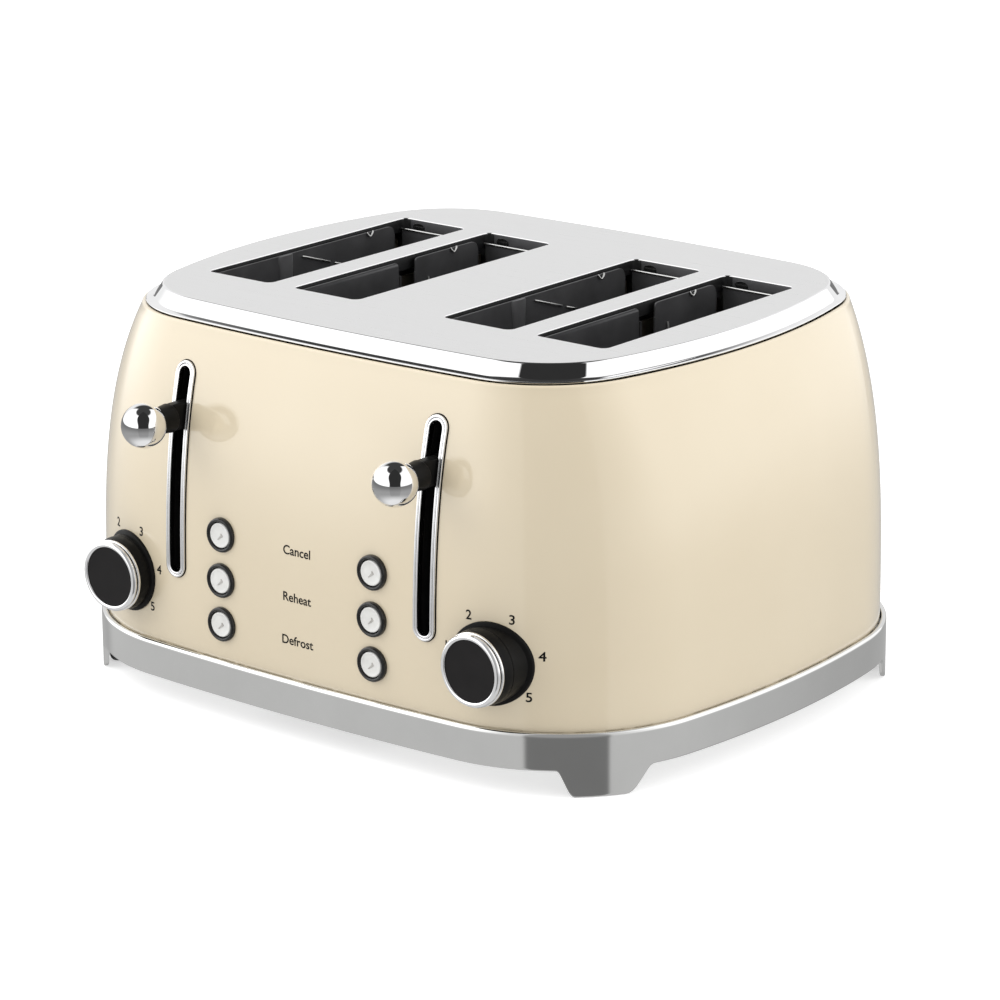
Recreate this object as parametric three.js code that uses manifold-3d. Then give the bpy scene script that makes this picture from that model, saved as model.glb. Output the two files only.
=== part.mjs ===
// Four-slice pop-up toaster with two independent halves, as an assembly of separate solids.
// Millimetres, +Z up, front towards -Y, origin on the table under the middle of the whole object.

import * as THREE from 'three';
import { mergeVertices } from 'three/addons/utils/BufferGeometryUtils.js';
import Module from 'manifold-3d';

const wasm = await Module();
wasm.setup();

// ---------------------------------------------------------------- driving dimensions

const HEIGHT = 184;
const GAP = 0.3;                 // clearance left between touching pieces
const SIDES = [{ name: 'left', sign: -1 }, { name: 'right', sign: 1 }];

// Plan outlines are rounded rectangles with bowed sides: half sizes, bow radii and corner radius.
const RING = { halfWidth: 171.35, halfDepth: 139.65, frontBow: 1482, sideBow: 464, corner: 81, y: 0 };
const RING_WALL = 2.4;
const RING_BOTTOM = 12;
const RING_TOP = 29;

const BODY_FOOT = { halfWidth: 168.3, halfDepth: 136.6, frontBow: 1482, sideBow: 464, corner: 78, y: 0 };
const BODY_LIP = { halfWidth: 147, halfDepth: 124.5, frontBow: 1422, sideBow: 310, corner: 56, y: 4.57 };
const BODY_BOTTOM = 26;          // the shell's lower edge, hidden inside the base ring
const BODY_LIP_Z = 176.5;
const BODY_CURVE = 3.2;          // exponent of the inward curve from foot to lip
const BODY_WALL = 1.6;
const BODY_LEVELS = [BODY_BOTTOM, 70, 100, 122, 140, 153, 163, 170, 174];
const BODY_INNER_LEVELS = [BODY_BOTTOM, 86, 122, 148, 165, 174];
const PANEL_FRONT = [-150, -100];   // reach of cuts through the front panel
const PANEL_REAR = [120, 145];

const PLATE = { halfWidth: 138.9, halfDepth: 113.7, frontBow: 1422, sideBow: 298, corner: 46.4, y: 4.57 };
const PLATE_THICK = 1.3;
const FLANGE_Z = 177.3;
const FLANGE_REACH = 6.7;        // sideways from the plate's top edge to the flange's outer edge

const WELL_X = [44.33, 96.89];   // middle of each bread slot, either side of the middle
const SLOT_WIDTH = 38.7;
const SLOT_LENGTH = 140.5;
const SLOT_Y = 6.48;
const SLOT_LIP_Z = 178;

const LEVER_X = 73.3;
const LEVER_Z = 136.8;           // ball centre at rest
const LEVER_DOWN = 62;
const BALL_Y = -152.8;
const BALL_R = 10.2;
const NECK_REAR_Y = -136.65;
const BLADE = { halfWidth: 2.8, halfHeight: 6.2 };
const BEZEL = { halfWidth: 5.8, openHalf: 3.4, bottom: 62, top: 160.7, proud: 1.2 };

const KNOB_X = 106.4;
const KNOB_Z = 57.8;
const KNOB_REAR_Y = -135.8;
const KNOB_FRONT_Y = -145.2;
const KNOB_REAR_R = 17.1;
const KNOB_FRONT_R = 16.4;
const BOSS = { flangeR: 18.7, proud: 1.5, pedestalR: 17.1, plugR: 10.5 };    // fixed piece behind each knob

const BUTTON_X = 44.5;
const BUTTON_ROWS = [87.3, 66.2, 45.7];
const BUTTON_R = 5.8;
const BUTTON_BEZEL_R = 8;
const BUTTON_TRAVEL = 2.2;
const BUTTON_FACE_Y = -138.3;
const BUTTON_BACK_Y = -129;
const BUTTON_BEZEL_Y = [-137.9, -131.5];
const BUTTON_SIDES = 12;

const OVEN = { bottom: 26, top: 176.5, front: -67.2, rear: 80.2, wall: 1.2 };
const OVEN_HALF = 56.8;
const CARD_Z = [36, 172];
const GUIDE_OFFSET = 17.2;       // guide plate to the middle of its well, at rest
const GUIDE_Z = [31.5, 174];
const RACK_Z = 94;
const RACK_HALF = 7;
const RACK_Y = [-60, 72];
const ARM_FRONT_Y = -73;
const ROD_Y = -88;
const ROD_R = 3;
const BOARD_Y = -112;
const SWITCH_DEPTH = 5;
const POT_DEPTH = 8;
const GLAND = { r: 6.5, z: 46 };

const FOOT = { endX: [139, 135.9], endY: [95.3, 88.9] };   // where each corner foot starts, at table and at ring
const PAD_R = 4;
const PAD_ANGLE = THREE.MathUtils.degToRad(41);
const PLATE_Z = [13, 15.2];
const TRAY_X = [15, 127];
const TRAY_Z = [15.6, 24.6];

const WELL_MID = (WELL_X[0] + WELL_X[1]) / 2;
const WELL_PITCH = WELL_X[1] - WELL_X[0];
const BALL_FRONT_Y = BALL_Y - BALL_R;
const SHIFT_Y = -(BALL_FRONT_Y + RING.halfDepth) / 2;

// ---------------------------------------------------------------- materials

const paint = (color, roughness, metalness) => new THREE.MeshStandardMaterial({ color, roughness, metalness });
const MATERIAL = {
  enamel: paint(0xebe1c8, 0.25, 0),
  satinGrey: paint(0xb2b1af, 0.4, 0.6),
  brushed: paint(0xdcdcdc, 0.3, 1),
  chrome: paint(0xf0f0f0, 0.08, 1),
  blackPlastic: paint(0x1e1d1c, 0.5, 0),
  whitePlastic: paint(0xe9e9e6, 0.35, 0),
  rubber: paint(0x222222, 0.8, 0),
  steel: paint(0x9a9a98, 0.35, 1),
  darkSteel: paint(0x4b4c4e, 0.45, 0.9),
  mica: paint(0xc9bfa4, 0.7, 0),
  copper: paint(0xb86f3c, 0.4, 0.8),
  circuit: paint(0x2f6b45, 0.6, 0),
};

// ---------------------------------------------------------------- solids

function solid(geometry) {
  const bare = geometry.clone();
  bare.deleteAttribute('normal');
  bare.deleteAttribute('uv');
  const merged = mergeVertices(bare, 1e-4);
  const index = [];
  for (let i = 0; i < merged.index.count; i += 3) {
    const [a, b, c] = [merged.index.getX(i), merged.index.getX(i + 1), merged.index.getX(i + 2)];
    if (a !== b && b !== c && c !== a) index.push(a, b, c);
  }
  const vertProperties = new Float32Array(merged.attributes.position.array);
  const triVerts = new Uint32Array(index);
  return new wasm.Manifold(new wasm.Mesh({ numProp: 3, vertProperties, triVerts }));
}

function geometryOf(body) {
  const mesh = body.getMesh();
  const geometry = new THREE.BufferGeometry();
  geometry.setAttribute('position', new THREE.BufferAttribute(mesh.vertProperties, 3));
  geometry.setIndex(new THREE.BufferAttribute(mesh.triVerts, 1));
  geometry.computeVertexNormals();
  return geometry;
}

function box(x, y, z) {
  const geometry = new THREE.BoxGeometry(x[1] - x[0], y[1] - y[0], z[1] - z[0]);
  geometry.translate((x[0] + x[1]) / 2, (y[0] + y[1]) / 2, (z[0] + z[1]) / 2);
  return solid(geometry);
}

function extruded(shape, depth, curveSegments = 4) {
  return new THREE.ExtrudeGeometry(shape, { depth, bevelEnabled: false, curveSegments, steps: 1 });
}

// A plan shape (x, y) raised from z[0] to z[1].
function prismZ(shape, z) {
  return solid(extruded(shape, z[1] - z[0]).translate(0, 0, z[0]));
}

// A front-view shape (x, z) drawn along y.
function prismY(shape, y) {
  const geometry = extruded(shape, y[1] - y[0]);
  return solid(geometry.rotateX(Math.PI / 2).translate(0, y[1], 0));
}

// A side-view shape (y, z) drawn along x.
function prismX(shape, x) {
  const turn = new THREE.Matrix4().makeBasis(
    new THREE.Vector3(0, 1, 0), new THREE.Vector3(0, 0, 1), new THREE.Vector3(1, 0, 0));
  return solid(extruded(shape, x[1] - x[0]).applyMatrix4(turn).translate(x[0], 0, 0));
}

// A solid of revolution about an axis along y, from (radius, y) pairs.
function turnedY(profile, x, z, sides = 16) {
  const points = profile.map(([radius, y]) => new THREE.Vector2(radius, y));
  return solid(new THREE.LatheGeometry(points, sides).translate(x, 0, z));
}

function rodY(radius, y, x, z, sides = 16) {
  return turnedY([[0, y[0]], [radius, y[0]], [radius, y[1]], [0, y[1]]], x, z, sides);
}

function rodZ(radius, z, x, y, sides = 12) {
  const geometry = new THREE.CylinderGeometry(radius, radius, z[1] - z[0], sides);
  return solid(geometry.rotateX(Math.PI / 2).translate(x, y, (z[0] + z[1]) / 2));
}

function roundedRect(cx, cy, halfWidth, halfHeight, radius) {
  const shape = new THREE.Shape();
  const corners = [[1, -1, -90], [1, 1, 0], [-1, 1, 90], [-1, -1, 180]];
  for (const [sx, sy, start] of corners) {
    const from = THREE.MathUtils.degToRad(start);
    const x = cx + sx * (halfWidth - radius);
    const y = cy + sy * (halfHeight - radius);
    shape.absarc(x, y, radius, from, from + Math.PI / 2, false);
  }
  shape.closePath();
  return shape;
}

const join = (first, ...others) => others.reduce((whole, piece) => whole.add(piece), first);
const cut = (first, ...tools) => tools.reduce((whole, tool) => whole.subtract(tool), first);

// ---------------------------------------------------------------- bowed outlines

function inset(outline, distance) {
  return {
    halfWidth: outline.halfWidth - distance,
    halfDepth: outline.halfDepth - distance,
    frontBow: outline.frontBow - distance,
    sideBow: outline.sideBow - distance,
    corner: outline.corner - distance,
    y: outline.y,
  };
}

function blend(from, to, share) {
  const mixed = {};
  for (const key of Object.keys(from)) mixed[key] = from[key] + (to[key] - from[key]) * share;
  return mixed;
}

// Centre of the corner arc that touches both the front arc and the side arc from inside.
function cornerCentre({ halfWidth, halfDepth, frontBow, sideBow, corner }) {
  const front = new THREE.Vector2(0, frontBow - halfDepth);
  const side = new THREE.Vector2(halfWidth - sideBow, 0);
  const reachFront = frontBow - corner;
  const reachSide = sideBow - corner;
  const between = side.clone().sub(front);
  const span = between.length();
  const along = (reachFront ** 2 - reachSide ** 2 + span ** 2) / (2 * span);
  const across = Math.sqrt(reachFront ** 2 - along ** 2);
  const unit = between.divideScalar(span);
  return front.clone().addScaledVector(unit, along).add(new THREE.Vector2(-unit.y * across, unit.x * across));
}

function arcPoints(centre, radius, from, to, steps) {
  const points = [];
  for (let i = 1; i <= steps; i += 1) {
    const angle = from + (to - from) * (i / steps);
    points.push(new THREE.Vector2(centre.x + radius * Math.cos(angle), centre.y + radius * Math.sin(angle)));
  }
  return points;
}

function outlinePoints(outline) {
  const { halfWidth, halfDepth, frontBow, sideBow, corner } = outline;
  const front = new THREE.Vector2(0, frontBow - halfDepth);
  const side = new THREE.Vector2(halfWidth - sideBow, 0);
  const centre = cornerCentre(outline);
  const leave = Math.atan2(centre.y - front.y, centre.x - front.x);
  const arrive = Math.atan2(centre.y - side.y, centre.x - side.x);
  const quarter = [
    new THREE.Vector2(0, -halfDepth),
    ...arcPoints(front, frontBow, -Math.PI / 2, leave, 3),
    ...arcPoints(centre, corner, leave, arrive, 9),
    ...arcPoints(side, sideBow, arrive, 0, 2),
  ];
  const back = quarter.slice().reverse();
  const mirror = (points, sx, sy) => points.map((p) => new THREE.Vector2(p.x * sx, p.y * sy));
  const loop = [
    ...quarter,
    ...mirror(back.slice(1), 1, -1),
    ...mirror(quarter.slice(1), -1, -1),
    ...mirror(back.slice(1, -1), -1, 1),
  ];
  return loop.map((p) => new THREE.Vector2(p.x, p.y + outline.y));
}

// Skin through a stack of outlines. A closed stack is a hoop; an open one is capped at both ends.
function loft(sections, closed = false) {
  const rings = sections.map(([outline, z]) => outlinePoints(outline).map((p) => [p.x, p.y, z]));
  const count = rings[0].length;
  const last = closed ? rings.length : rings.length - 1;
  const index = [];
  for (let i = 0; i < last; i += 1) {
    const low = i * count;
    const high = ((i + 1) % rings.length) * count;
    for (let j = 0; j < count; j += 1) {
      const k = (j + 1) % count;
      index.push(low + j, low + k, high + k, low + j, high + k, high + j);
    }
  }
  if (!closed) {
    const flat = rings[0].map(([x, y]) => new THREE.Vector2(x, y));
    const faces = THREE.ShapeUtils.triangulateShape(flat, []);
    const top = (rings.length - 1) * count;
    for (const [a, b, c] of faces) index.push(c, b, a, top + a, top + b, top + c);
  }
  const geometry = new THREE.BufferGeometry();
  geometry.setAttribute('position', new THREE.Float32BufferAttribute(rings.flat(2), 3));
  geometry.setIndex(index);
  return solid(geometry);
}

// ---------------------------------------------------------------- body shell and what sits in it

function bodyOutline(z, distance) {
  const share = Math.max(0, (z - RING_TOP) / (BODY_LIP_Z - RING_TOP)) ** BODY_CURVE;
  return inset(blend(BODY_FOOT, BODY_LIP, share), distance);
}

function bodyBlock(distance) {
  const levels = [...BODY_LEVELS, BODY_LIP_Z + 0.5];
  return loft(levels.map((z) => [bodyOutline(z, distance), z]));
}

function bodyShell() {
  const outside = BODY_LEVELS.map((z) => [bodyOutline(z, 0), z]);
  const lip = [
    [bodyOutline(BODY_LIP_Z, 0.8), BODY_LIP_Z],
    [bodyOutline(BODY_LIP_Z, 2.6), BODY_LIP_Z],
  ];
  const inside = BODY_INNER_LEVELS.slice().reverse().map((z) => [bodyOutline(z, BODY_WALL), z]);
  let shell = loft([...outside, ...lip, ...inside], true);
  for (const { sign } of SIDES) {
    shell = cut(shell, prismY(bezelShape(sign, BEZEL.halfWidth + GAP), PANEL_FRONT));
    shell = cut(shell, rodY(BOSS.plugR + GAP, PANEL_FRONT, sign * KNOB_X, KNOB_Z));
    for (const z of BUTTON_ROWS) {
      shell = cut(shell, rodY(BUTTON_BEZEL_R + GAP, PANEL_FRONT, sign * BUTTON_X, z));
    }
  }
  return cut(shell, rodY(GLAND.r + GAP, PANEL_REAR, 0, GLAND.z));
}

function bezelShape(sign, halfWidth) {
  const middle = (BEZEL.bottom + BEZEL.top) / 2;
  const halfHeight = (BEZEL.top - BEZEL.bottom) / 2 - (BEZEL.halfWidth - halfWidth);
  return roundedRect(sign * LEVER_X, middle, halfWidth, halfHeight, halfWidth - 0.01);
}

// The bezel keeps to the curve of the front panel, a little proud of it.
function leverBezel(sign) {
  const slab = prismY(bezelShape(sign, BEZEL.halfWidth), PANEL_FRONT).intersect(bodyBlock(-BEZEL.proud));
  return cut(slab, prismY(bezelShape(sign, BEZEL.openHalf), PANEL_FRONT), bodyBlock(BODY_WALL + 1));
}

function buttonBezel(sign, z) {
  const [face, rear] = BUTTON_BEZEL_Y;
  const inner = BUTTON_R + GAP;
  const profile = [
    [inner, face + 0.9], [inner + 0.7, face], [BUTTON_BEZEL_R - 0.7, face], [BUTTON_BEZEL_R, face + 0.9],
    [BUTTON_BEZEL_R, rear], [inner, rear], [inner, face + 0.9],
  ];
  return turnedY(profile, sign * BUTTON_X, z, BUTTON_SIDES);
}

function button(sign, z) {
  const face = BUTTON_FACE_Y;
  const stemR = 2.5;
  const stemEnd = BOARD_Y - SWITCH_DEPTH - BUTTON_TRAVEL - 0.2;
  const profile = [
    [0, face], [BUTTON_R - 1.4, face + 0.25], [BUTTON_R, face + 1.2], [BUTTON_R, BUTTON_BACK_Y],
    [stemR, BUTTON_BACK_Y], [stemR, stemEnd], [0, stemEnd],
  ];
  return turnedY(profile, sign * BUTTON_X, z, BUTTON_SIDES);
}

// A flange that keeps to the front panel, a flat-faced pedestal for the knob, and a plug through the panel.
function knobBoss(sign) {
  const x = sign * KNOB_X;
  const face = KNOB_REAR_Y + GAP;
  const flange = rodY(BOSS.flangeR, [-150, -110], x, KNOB_Z, 24).intersect(bodyBlock(-BOSS.proud));
  const pedestal = rodY(BOSS.pedestalR, [face, -118], x, KNOB_Z, 24);
  const outside = cut(join(flange, pedestal), bodyBlock(-GAP));
  const plug = cut(rodY(BOSS.plugR, [face + 0.5, -116], x, KNOB_Z), bodyBlock(BODY_WALL + 1));
  return cut(join(outside, plug), rodY(ROD_R + GAP, [face - 1, -110], x, KNOB_Z));
}

function knob(sign) {
  const shaftEnd = BOARD_Y - POT_DEPTH - GAP;
  const profile = [
    [0, KNOB_FRONT_Y + 0.5], [KNOB_FRONT_R - 2.2, KNOB_FRONT_Y + 0.5], [KNOB_FRONT_R - 1.8, KNOB_FRONT_Y],
    [KNOB_FRONT_R - 0.6, KNOB_FRONT_Y + 0.4], [KNOB_FRONT_R, KNOB_FRONT_Y + 1.6],
    [KNOB_REAR_R, KNOB_REAR_Y - 0.6], [KNOB_REAR_R - 0.5, KNOB_REAR_Y],
    [ROD_R, KNOB_REAR_Y], [ROD_R, shaftEnd], [0, shaftEnd],
  ];
  return turnedY(profile, sign * KNOB_X, KNOB_Z, 24);
}

function plateOutline(sideways, lengthways) {
  const wider = inset(PLATE, -sideways);
  wider.halfDepth = PLATE.halfDepth + lengthways;
  return wider;
}

function topPlate() {
  const foot = FLANGE_Z + 1.3;
  const skin = [
    [plateOutline(-0.8, -0.8), HEIGHT - PLATE_THICK],
    [plateOutline(1.3, 1.8), foot - 0.9],
    [plateOutline(FLANGE_REACH, FLANGE_REACH + 2.7), FLANGE_Z],
    [plateOutline(FLANGE_REACH, FLANGE_REACH + 2.7), FLANGE_Z + 0.7],
    [plateOutline(2.3, 2.8), foot],
    [plateOutline(0.6, 0.6), HEIGHT - 0.5],
    [plateOutline(0, 0), HEIGHT],
  ];
  let plate = loft(skin);
  for (const { sign } of SIDES) {
    for (const x of WELL_X) {
      const slot = roundedRect(sign * x, SLOT_Y, SLOT_WIDTH / 2, SLOT_LENGTH / 2, 4);
      const lip = roundedRect(sign * x, SLOT_Y, SLOT_WIDTH / 2 + 1, SLOT_LENGTH / 2 + 1, 5);
      plate = join(plate, prismZ(lip, [SLOT_LIP_Z, HEIGHT - 0.4]));
      plate = cut(plate, prismZ(slot, [SLOT_LIP_Z - 5, HEIGHT + 5]));
    }
  }
  return plate;
}

// ---------------------------------------------------------------- base

function baseRing() {
  const inner = inset(RING, RING_WALL);
  const hoop = loft([
    [RING, 0], [RING, RING_TOP - 0.8], [inset(RING, 0.8), RING_TOP],
    [inner, RING_TOP], [inner, 0],
  ], true);
  const gapShape = ([low, high]) => new THREE.Shape([
    new THREE.Vector2(-low, -1), new THREE.Vector2(low, -1), new THREE.Vector2(low, 0),
    new THREE.Vector2(high, RING_BOTTOM), new THREE.Vector2(-high, RING_BOTTOM), new THREE.Vector2(-low, 0),
  ]);
  let ring = cut(hoop, prismY(gapShape(FOOT.endX), [-160, 160]), prismX(gapShape(FOOT.endY), [-180, 180]));
  for (const { sign } of SIDES) {
    const [x0, x1] = TRAY_X.map((x) => sign * x).sort((a, b) => a - b);
    ring = cut(ring, box([x0, x1], [110, 150], [TRAY_Z[0] - GAP, TRAY_Z[1] + GAP]));
  }
  return ring;
}

// Each rubber pad stands in the hollow of its corner foot, close to the wall.
function footPad(sign, way) {
  const corner = cornerCentre(RING);
  const reach = RING.corner - RING_WALL - PAD_R - 2 * GAP;
  const x = corner.x + reach * Math.cos(PAD_ANGLE);
  const y = -corner.y + reach * Math.sin(PAD_ANGLE);
  return rodZ(PAD_R, [0, PLATE_Z[0] - GAP], sign * x, way * y);
}

function basePlate() {
  const outline = inset(RING, RING_WALL + GAP);
  let plate = loft([[outline, PLATE_Z[0]], [outline, PLATE_Z[1]]]);
  for (let i = -3; i <= 3; i += 1) {
    plate = cut(plate, box([i * 10 - 2, i * 10 + 2], [-124, -98], [10, 20]));
  }
  return plate;
}

function crumbTray(sign) {
  const [x0, x1] = TRAY_X.map((x) => sign * x).sort((a, b) => a - b);
  const panX = [x0 + 0.6, x1 - 0.6];
  const pan = box(panX, [-64, 128], TRAY_Z);
  const hollow = box([panX[0] + 1.2, panX[1] - 1.2], [-62.8, 125], [TRAY_Z[0] + 1.2, TRAY_Z[1] + 1]);
  const face = loft([[RING, TRAY_Z[0]], [RING, TRAY_Z[1]]]).intersect(box(panX, [126, 150], [0, 40]));
  const grip = box([panX[0] + 36, panX[1] - 36], [134, 150], [TRAY_Z[0] - 1, TRAY_Z[0] + 4]);
  return join(cut(pan, hollow), cut(face, grip));
}

// ---------------------------------------------------------------- oven boxes and what is inside

function ovenBox(sign) {
  const middle = sign * WELL_MID;
  const { bottom, top, front, rear, wall } = OVEN;
  const outer = box([middle - OVEN_HALF, middle + OVEN_HALF], [front, rear], [bottom, top]);
  const room = OVEN_HALF - wall;
  let oven = cut(outer, box([middle - room, middle + room], [front + wall, rear - wall], [0, 200]));
  for (const x of WELL_X) {
    oven = cut(oven, box([sign * x - 3.2, sign * x + 3.2], [front - 5, front + 5], [29, 120]));
  }
  const lever = sign * LEVER_X;
  const ear = box([lever - 8, lever + 8], [ROD_Y - 8, front], [168, 171]);
  return join(oven, cut(ear, rodZ(ROD_R + GAP, [160, 175], lever, ROD_Y)));
}

function elementCard(x) {
  const reach = [OVEN.front + OVEN.wall + GAP, OVEN.rear - OVEN.wall - GAP];
  return box([x - 0.5, x + 0.5], reach, CARD_Z);
}

function breadRack(x) {
  const middle = (RACK_Y[0] + RACK_Y[1]) / 2;
  let ladder = box([x - RACK_HALF, x + RACK_HALF], RACK_Y, [RACK_Z, RACK_Z + 2]);
  for (let i = -3; i <= 3; i += 1) {
    const y = middle + i * 18;
    ladder = cut(ladder, box([x - RACK_HALF + 2, x + RACK_HALF - 2], [y - 7, y + 7], [RACK_Z - 5, RACK_Z + 5]));
  }
  const arm = box([x - 2, x + 2], [ARM_FRONT_Y, RACK_Y[0] + 8], [RACK_Z - 1.5, RACK_Z + 10]);
  return join(ladder, arm);
}

// A guide frame: one upright grid in each well of the pair, tied together by two bars under the wells.
function breadGuide(sign, towards, bars) {
  const middle = 5;
  const height = (GUIDE_Z[1] - GUIDE_Z[0]) / 2;
  const shape = roundedRect(middle, GUIDE_Z[0] + height, 67, height, 6);
  const grid = (x) => {
    let plate = prismX(shape, [x - 0.6, x + 0.6]);
    for (let i = -2; i <= 2; i += 1) {
      const y = middle + i * 25;
      plate = cut(plate, box([x - 2, x + 2], [y - 10.5, y + 10.5], [GUIDE_Z[0] + 8, GUIDE_Z[1] - 10]));
    }
    return plate;
  };
  const places = WELL_X.map((x) => sign * x + towards * GUIDE_OFFSET);
  const [from, to] = places.slice().sort((a, b) => a - b);
  const ties = bars.flatMap((y) => [
    box([from - 0.6, to + 0.6], [y - 2, y + 2], [27, 30]),
    ...places.map((x) => box([x - 0.6, x + 0.6], [y - 2, y + 2], [28, GUIDE_Z[0] + 2])),
  ]);
  return join(...places.map(grid), ...ties);
}

// ---------------------------------------------------------------- lever carriage

function carriageBracket(sign) {
  const lever = sign * LEVER_X;
  const wells = WELL_X.map((x) => sign * x).sort((a, b) => a - b);
  const yoke = box([wells[0] - 5, wells[1] + 5], [-77, ARM_FRONT_Y - GAP], [RACK_Z - 2, RACK_Z + 10]);
  const upright = box([lever - 12, lever + 12], [-80, -76], [RACK_Z - 2, 146]);
  const bush = box([lever - 8, lever + 8], [-96, -79], [100, 146]);
  const keeper = box([lever - 8, lever + 8], [-109, -95], [100, 103]);
  return cut(join(yoke, upright, bush, keeper), rodZ(ROD_R + GAP, [80, 160], lever, ROD_Y));
}

function leverNeck(sign) {
  const x = sign * LEVER_X;
  const collar = turnedY([[0, -144.3], [5.9, -144.3], [6.8, NECK_REAR_Y], [0, NECK_REAR_Y]], x, LEVER_Z);
  const height = [LEVER_Z - BLADE.halfHeight, LEVER_Z + BLADE.halfHeight];
  const blade = box([x - BLADE.halfWidth, x + BLADE.halfWidth], [NECK_REAR_Y - 1, -96 - GAP], height);
  return join(collar, blade);
}

function leverBall(sign) {
  const x = sign * LEVER_X;
  const ball = new THREE.SphereGeometry(BALL_R, 20, 12).translate(x, BALL_Y, LEVER_Z);
  return cut(solid(ball), rodY(6.3, [-144.6, -130], x, LEVER_Z));
}

function guideRod(sign) {
  return rodZ(ROD_R, [PLATE_Z[1] + GAP, 172], sign * LEVER_X, ROD_Y);
}

// Coil spring around the guide rod, from the base plate to the carriage's bush.
function leverSpring(sign) {
  const turns = 7;
  const radius = 4.5;
  const wire = 0.7;
  const low = PLATE_Z[1] + GAP + wire;
  const high = 100 - GAP - wire;
  class Helix extends THREE.Curve {
    getPoint(t, target = new THREE.Vector3()) {
      const angle = t * turns * 2 * Math.PI;
      const x = sign * LEVER_X + radius * Math.cos(angle);
      return target.set(x, ROD_Y + radius * Math.sin(angle), low + (high - low) * t);
    }
  }
  const section = new THREE.Shape();
  section.absarc(0, 0, wire, 0, 2 * Math.PI, false);
  const extrudePath = new Helix();
  const options = { steps: turns * 8, bevelEnabled: false, extrudePath, curveSegments: 2 };
  return solid(new THREE.ExtrudeGeometry(section, options));
}

// ---------------------------------------------------------------- electrics

function electromagnet(sign) {
  const x = sign * LEVER_X;
  const core = box([x - 3.5, x + 3.5], [-108, -98], [PLATE_Z[1] + GAP, 37.4]);
  const coil = box([x - 7.5, x + 7.5], [-109, -97], [19, 33]);
  return join(core, coil);
}

function controlBoard(sign) {
  const board = new THREE.Shape([
    [30, 30], [124, 30], [124, 64], [59, 64], [59, 98], [30, 98],
  ].map(([x, z]) => new THREE.Vector2(x, z)));
  let panel = prismY(board, [BOARD_Y, BOARD_Y + 1.6]);
  for (const z of BUTTON_ROWS) {
    panel = join(panel, box([BUTTON_X - 4, BUTTON_X + 4], [BOARD_Y - SWITCH_DEPTH, BOARD_Y + 1], [z - 4, z + 4]));
  }
  const sensor = rodY(8, [BOARD_Y - POT_DEPTH, BOARD_Y + 1], KNOB_X, KNOB_Z);
  const whole = join(panel, sensor);
  return sign > 0 ? whole : whole.mirror([1, 0, 0]);
}

function cordGland() {
  const profile = [
    [2.6, 128], [GLAND.r, 128], [GLAND.r, 138.2], [GLAND.r - 1.2, 139.4], [4, 139.4], [2.6, 138.4], [2.6, 128],
  ];
  return turnedY(profile, 0, GLAND.z, 16);
}

// ---------------------------------------------------------------- assembly

const toaster = new THREE.Group();
toaster.position.y = SHIFT_Y;

function add(name, body, material) {
  const mesh = new THREE.Mesh(geometryOf(body), MATERIAL[material]);
  mesh.name = name;
  toaster.add(mesh);
}

add('base_ring', baseRing(), 'satinGrey');
add('base_plate', basePlate(), 'satinGrey');
add('body_shell', bodyShell(), 'enamel');
add('top_plate', topPlate(), 'brushed');
add('cord_gland', cordGland(), 'rubber');

for (const { name, sign } of SIDES) {
  for (const [end, way] of [['front', -1], ['rear', 1]]) {
    add(`foot_pad_${end}_${name}`, footPad(sign, way), 'rubber');
  }
  add(`lever_bezel_${name}`, leverBezel(sign), 'chrome');
  BUTTON_ROWS.forEach((z, row) => {
    add(`button_bezel_${name}_${row + 1}`, buttonBezel(sign, z), 'blackPlastic');
    add(`button_${name}_${row + 1}`, button(sign, z), 'whitePlastic');
  });
  add(`knob_boss_${name}`, knobBoss(sign), 'blackPlastic');
  add(`browning_knob_${name}`, knob(sign), 'blackPlastic');
  add(`control_board_${name}`, controlBoard(sign), 'circuit');
  add(`electromagnet_${name}`, electromagnet(sign), 'copper');
  add(`oven_box_${name}`, ovenBox(sign), 'darkSteel');
  ['inner', 'middle', 'outer'].forEach((place, i) => {
    const x = sign * (WELL_MID + (i - 1) * WELL_PITCH);
    add(`heating_card_${name}_${place}`, elementCard(x), 'mica');
  });
  add(`bread_guide_${name}_a`, breadGuide(sign, -1, [-52, 60]), 'darkSteel');
  add(`bread_guide_${name}_b`, breadGuide(sign, 1, [-42, 50]), 'darkSteel');
  ['inner', 'outer'].forEach((place, i) => {
    add(`bread_rack_${name}_${place}`, breadRack(sign * WELL_X[i]), 'steel');
  });
  add(`carriage_bracket_${name}`, carriageBracket(sign), 'steel');
  add(`lever_neck_${name}`, leverNeck(sign), 'blackPlastic');
  add(`lever_ball_${name}`, leverBall(sign), 'chrome');
  add(`guide_rod_${name}`, guideRod(sign), 'steel');
  add(`lever_spring_${name}`, leverSpring(sign), 'steel');
  add(`crumb_tray_${name}`, crumbTray(sign), 'darkSteel');
}

export default toaster;
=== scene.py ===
"""Visual model of a four-slice pop-up toaster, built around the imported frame.

Lengths in this script are millimetres in the body frame (origin on the table under the middle of the base
ring, +X right, front towards -Y, +Z up). place() turns them into the frame's metres. Lights and the floor are
given in metres.
"""
import math

import bmesh
import bpy
from mathutils import Matrix, Vector
from mathutils.geometry import tessellate_polygon


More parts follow.
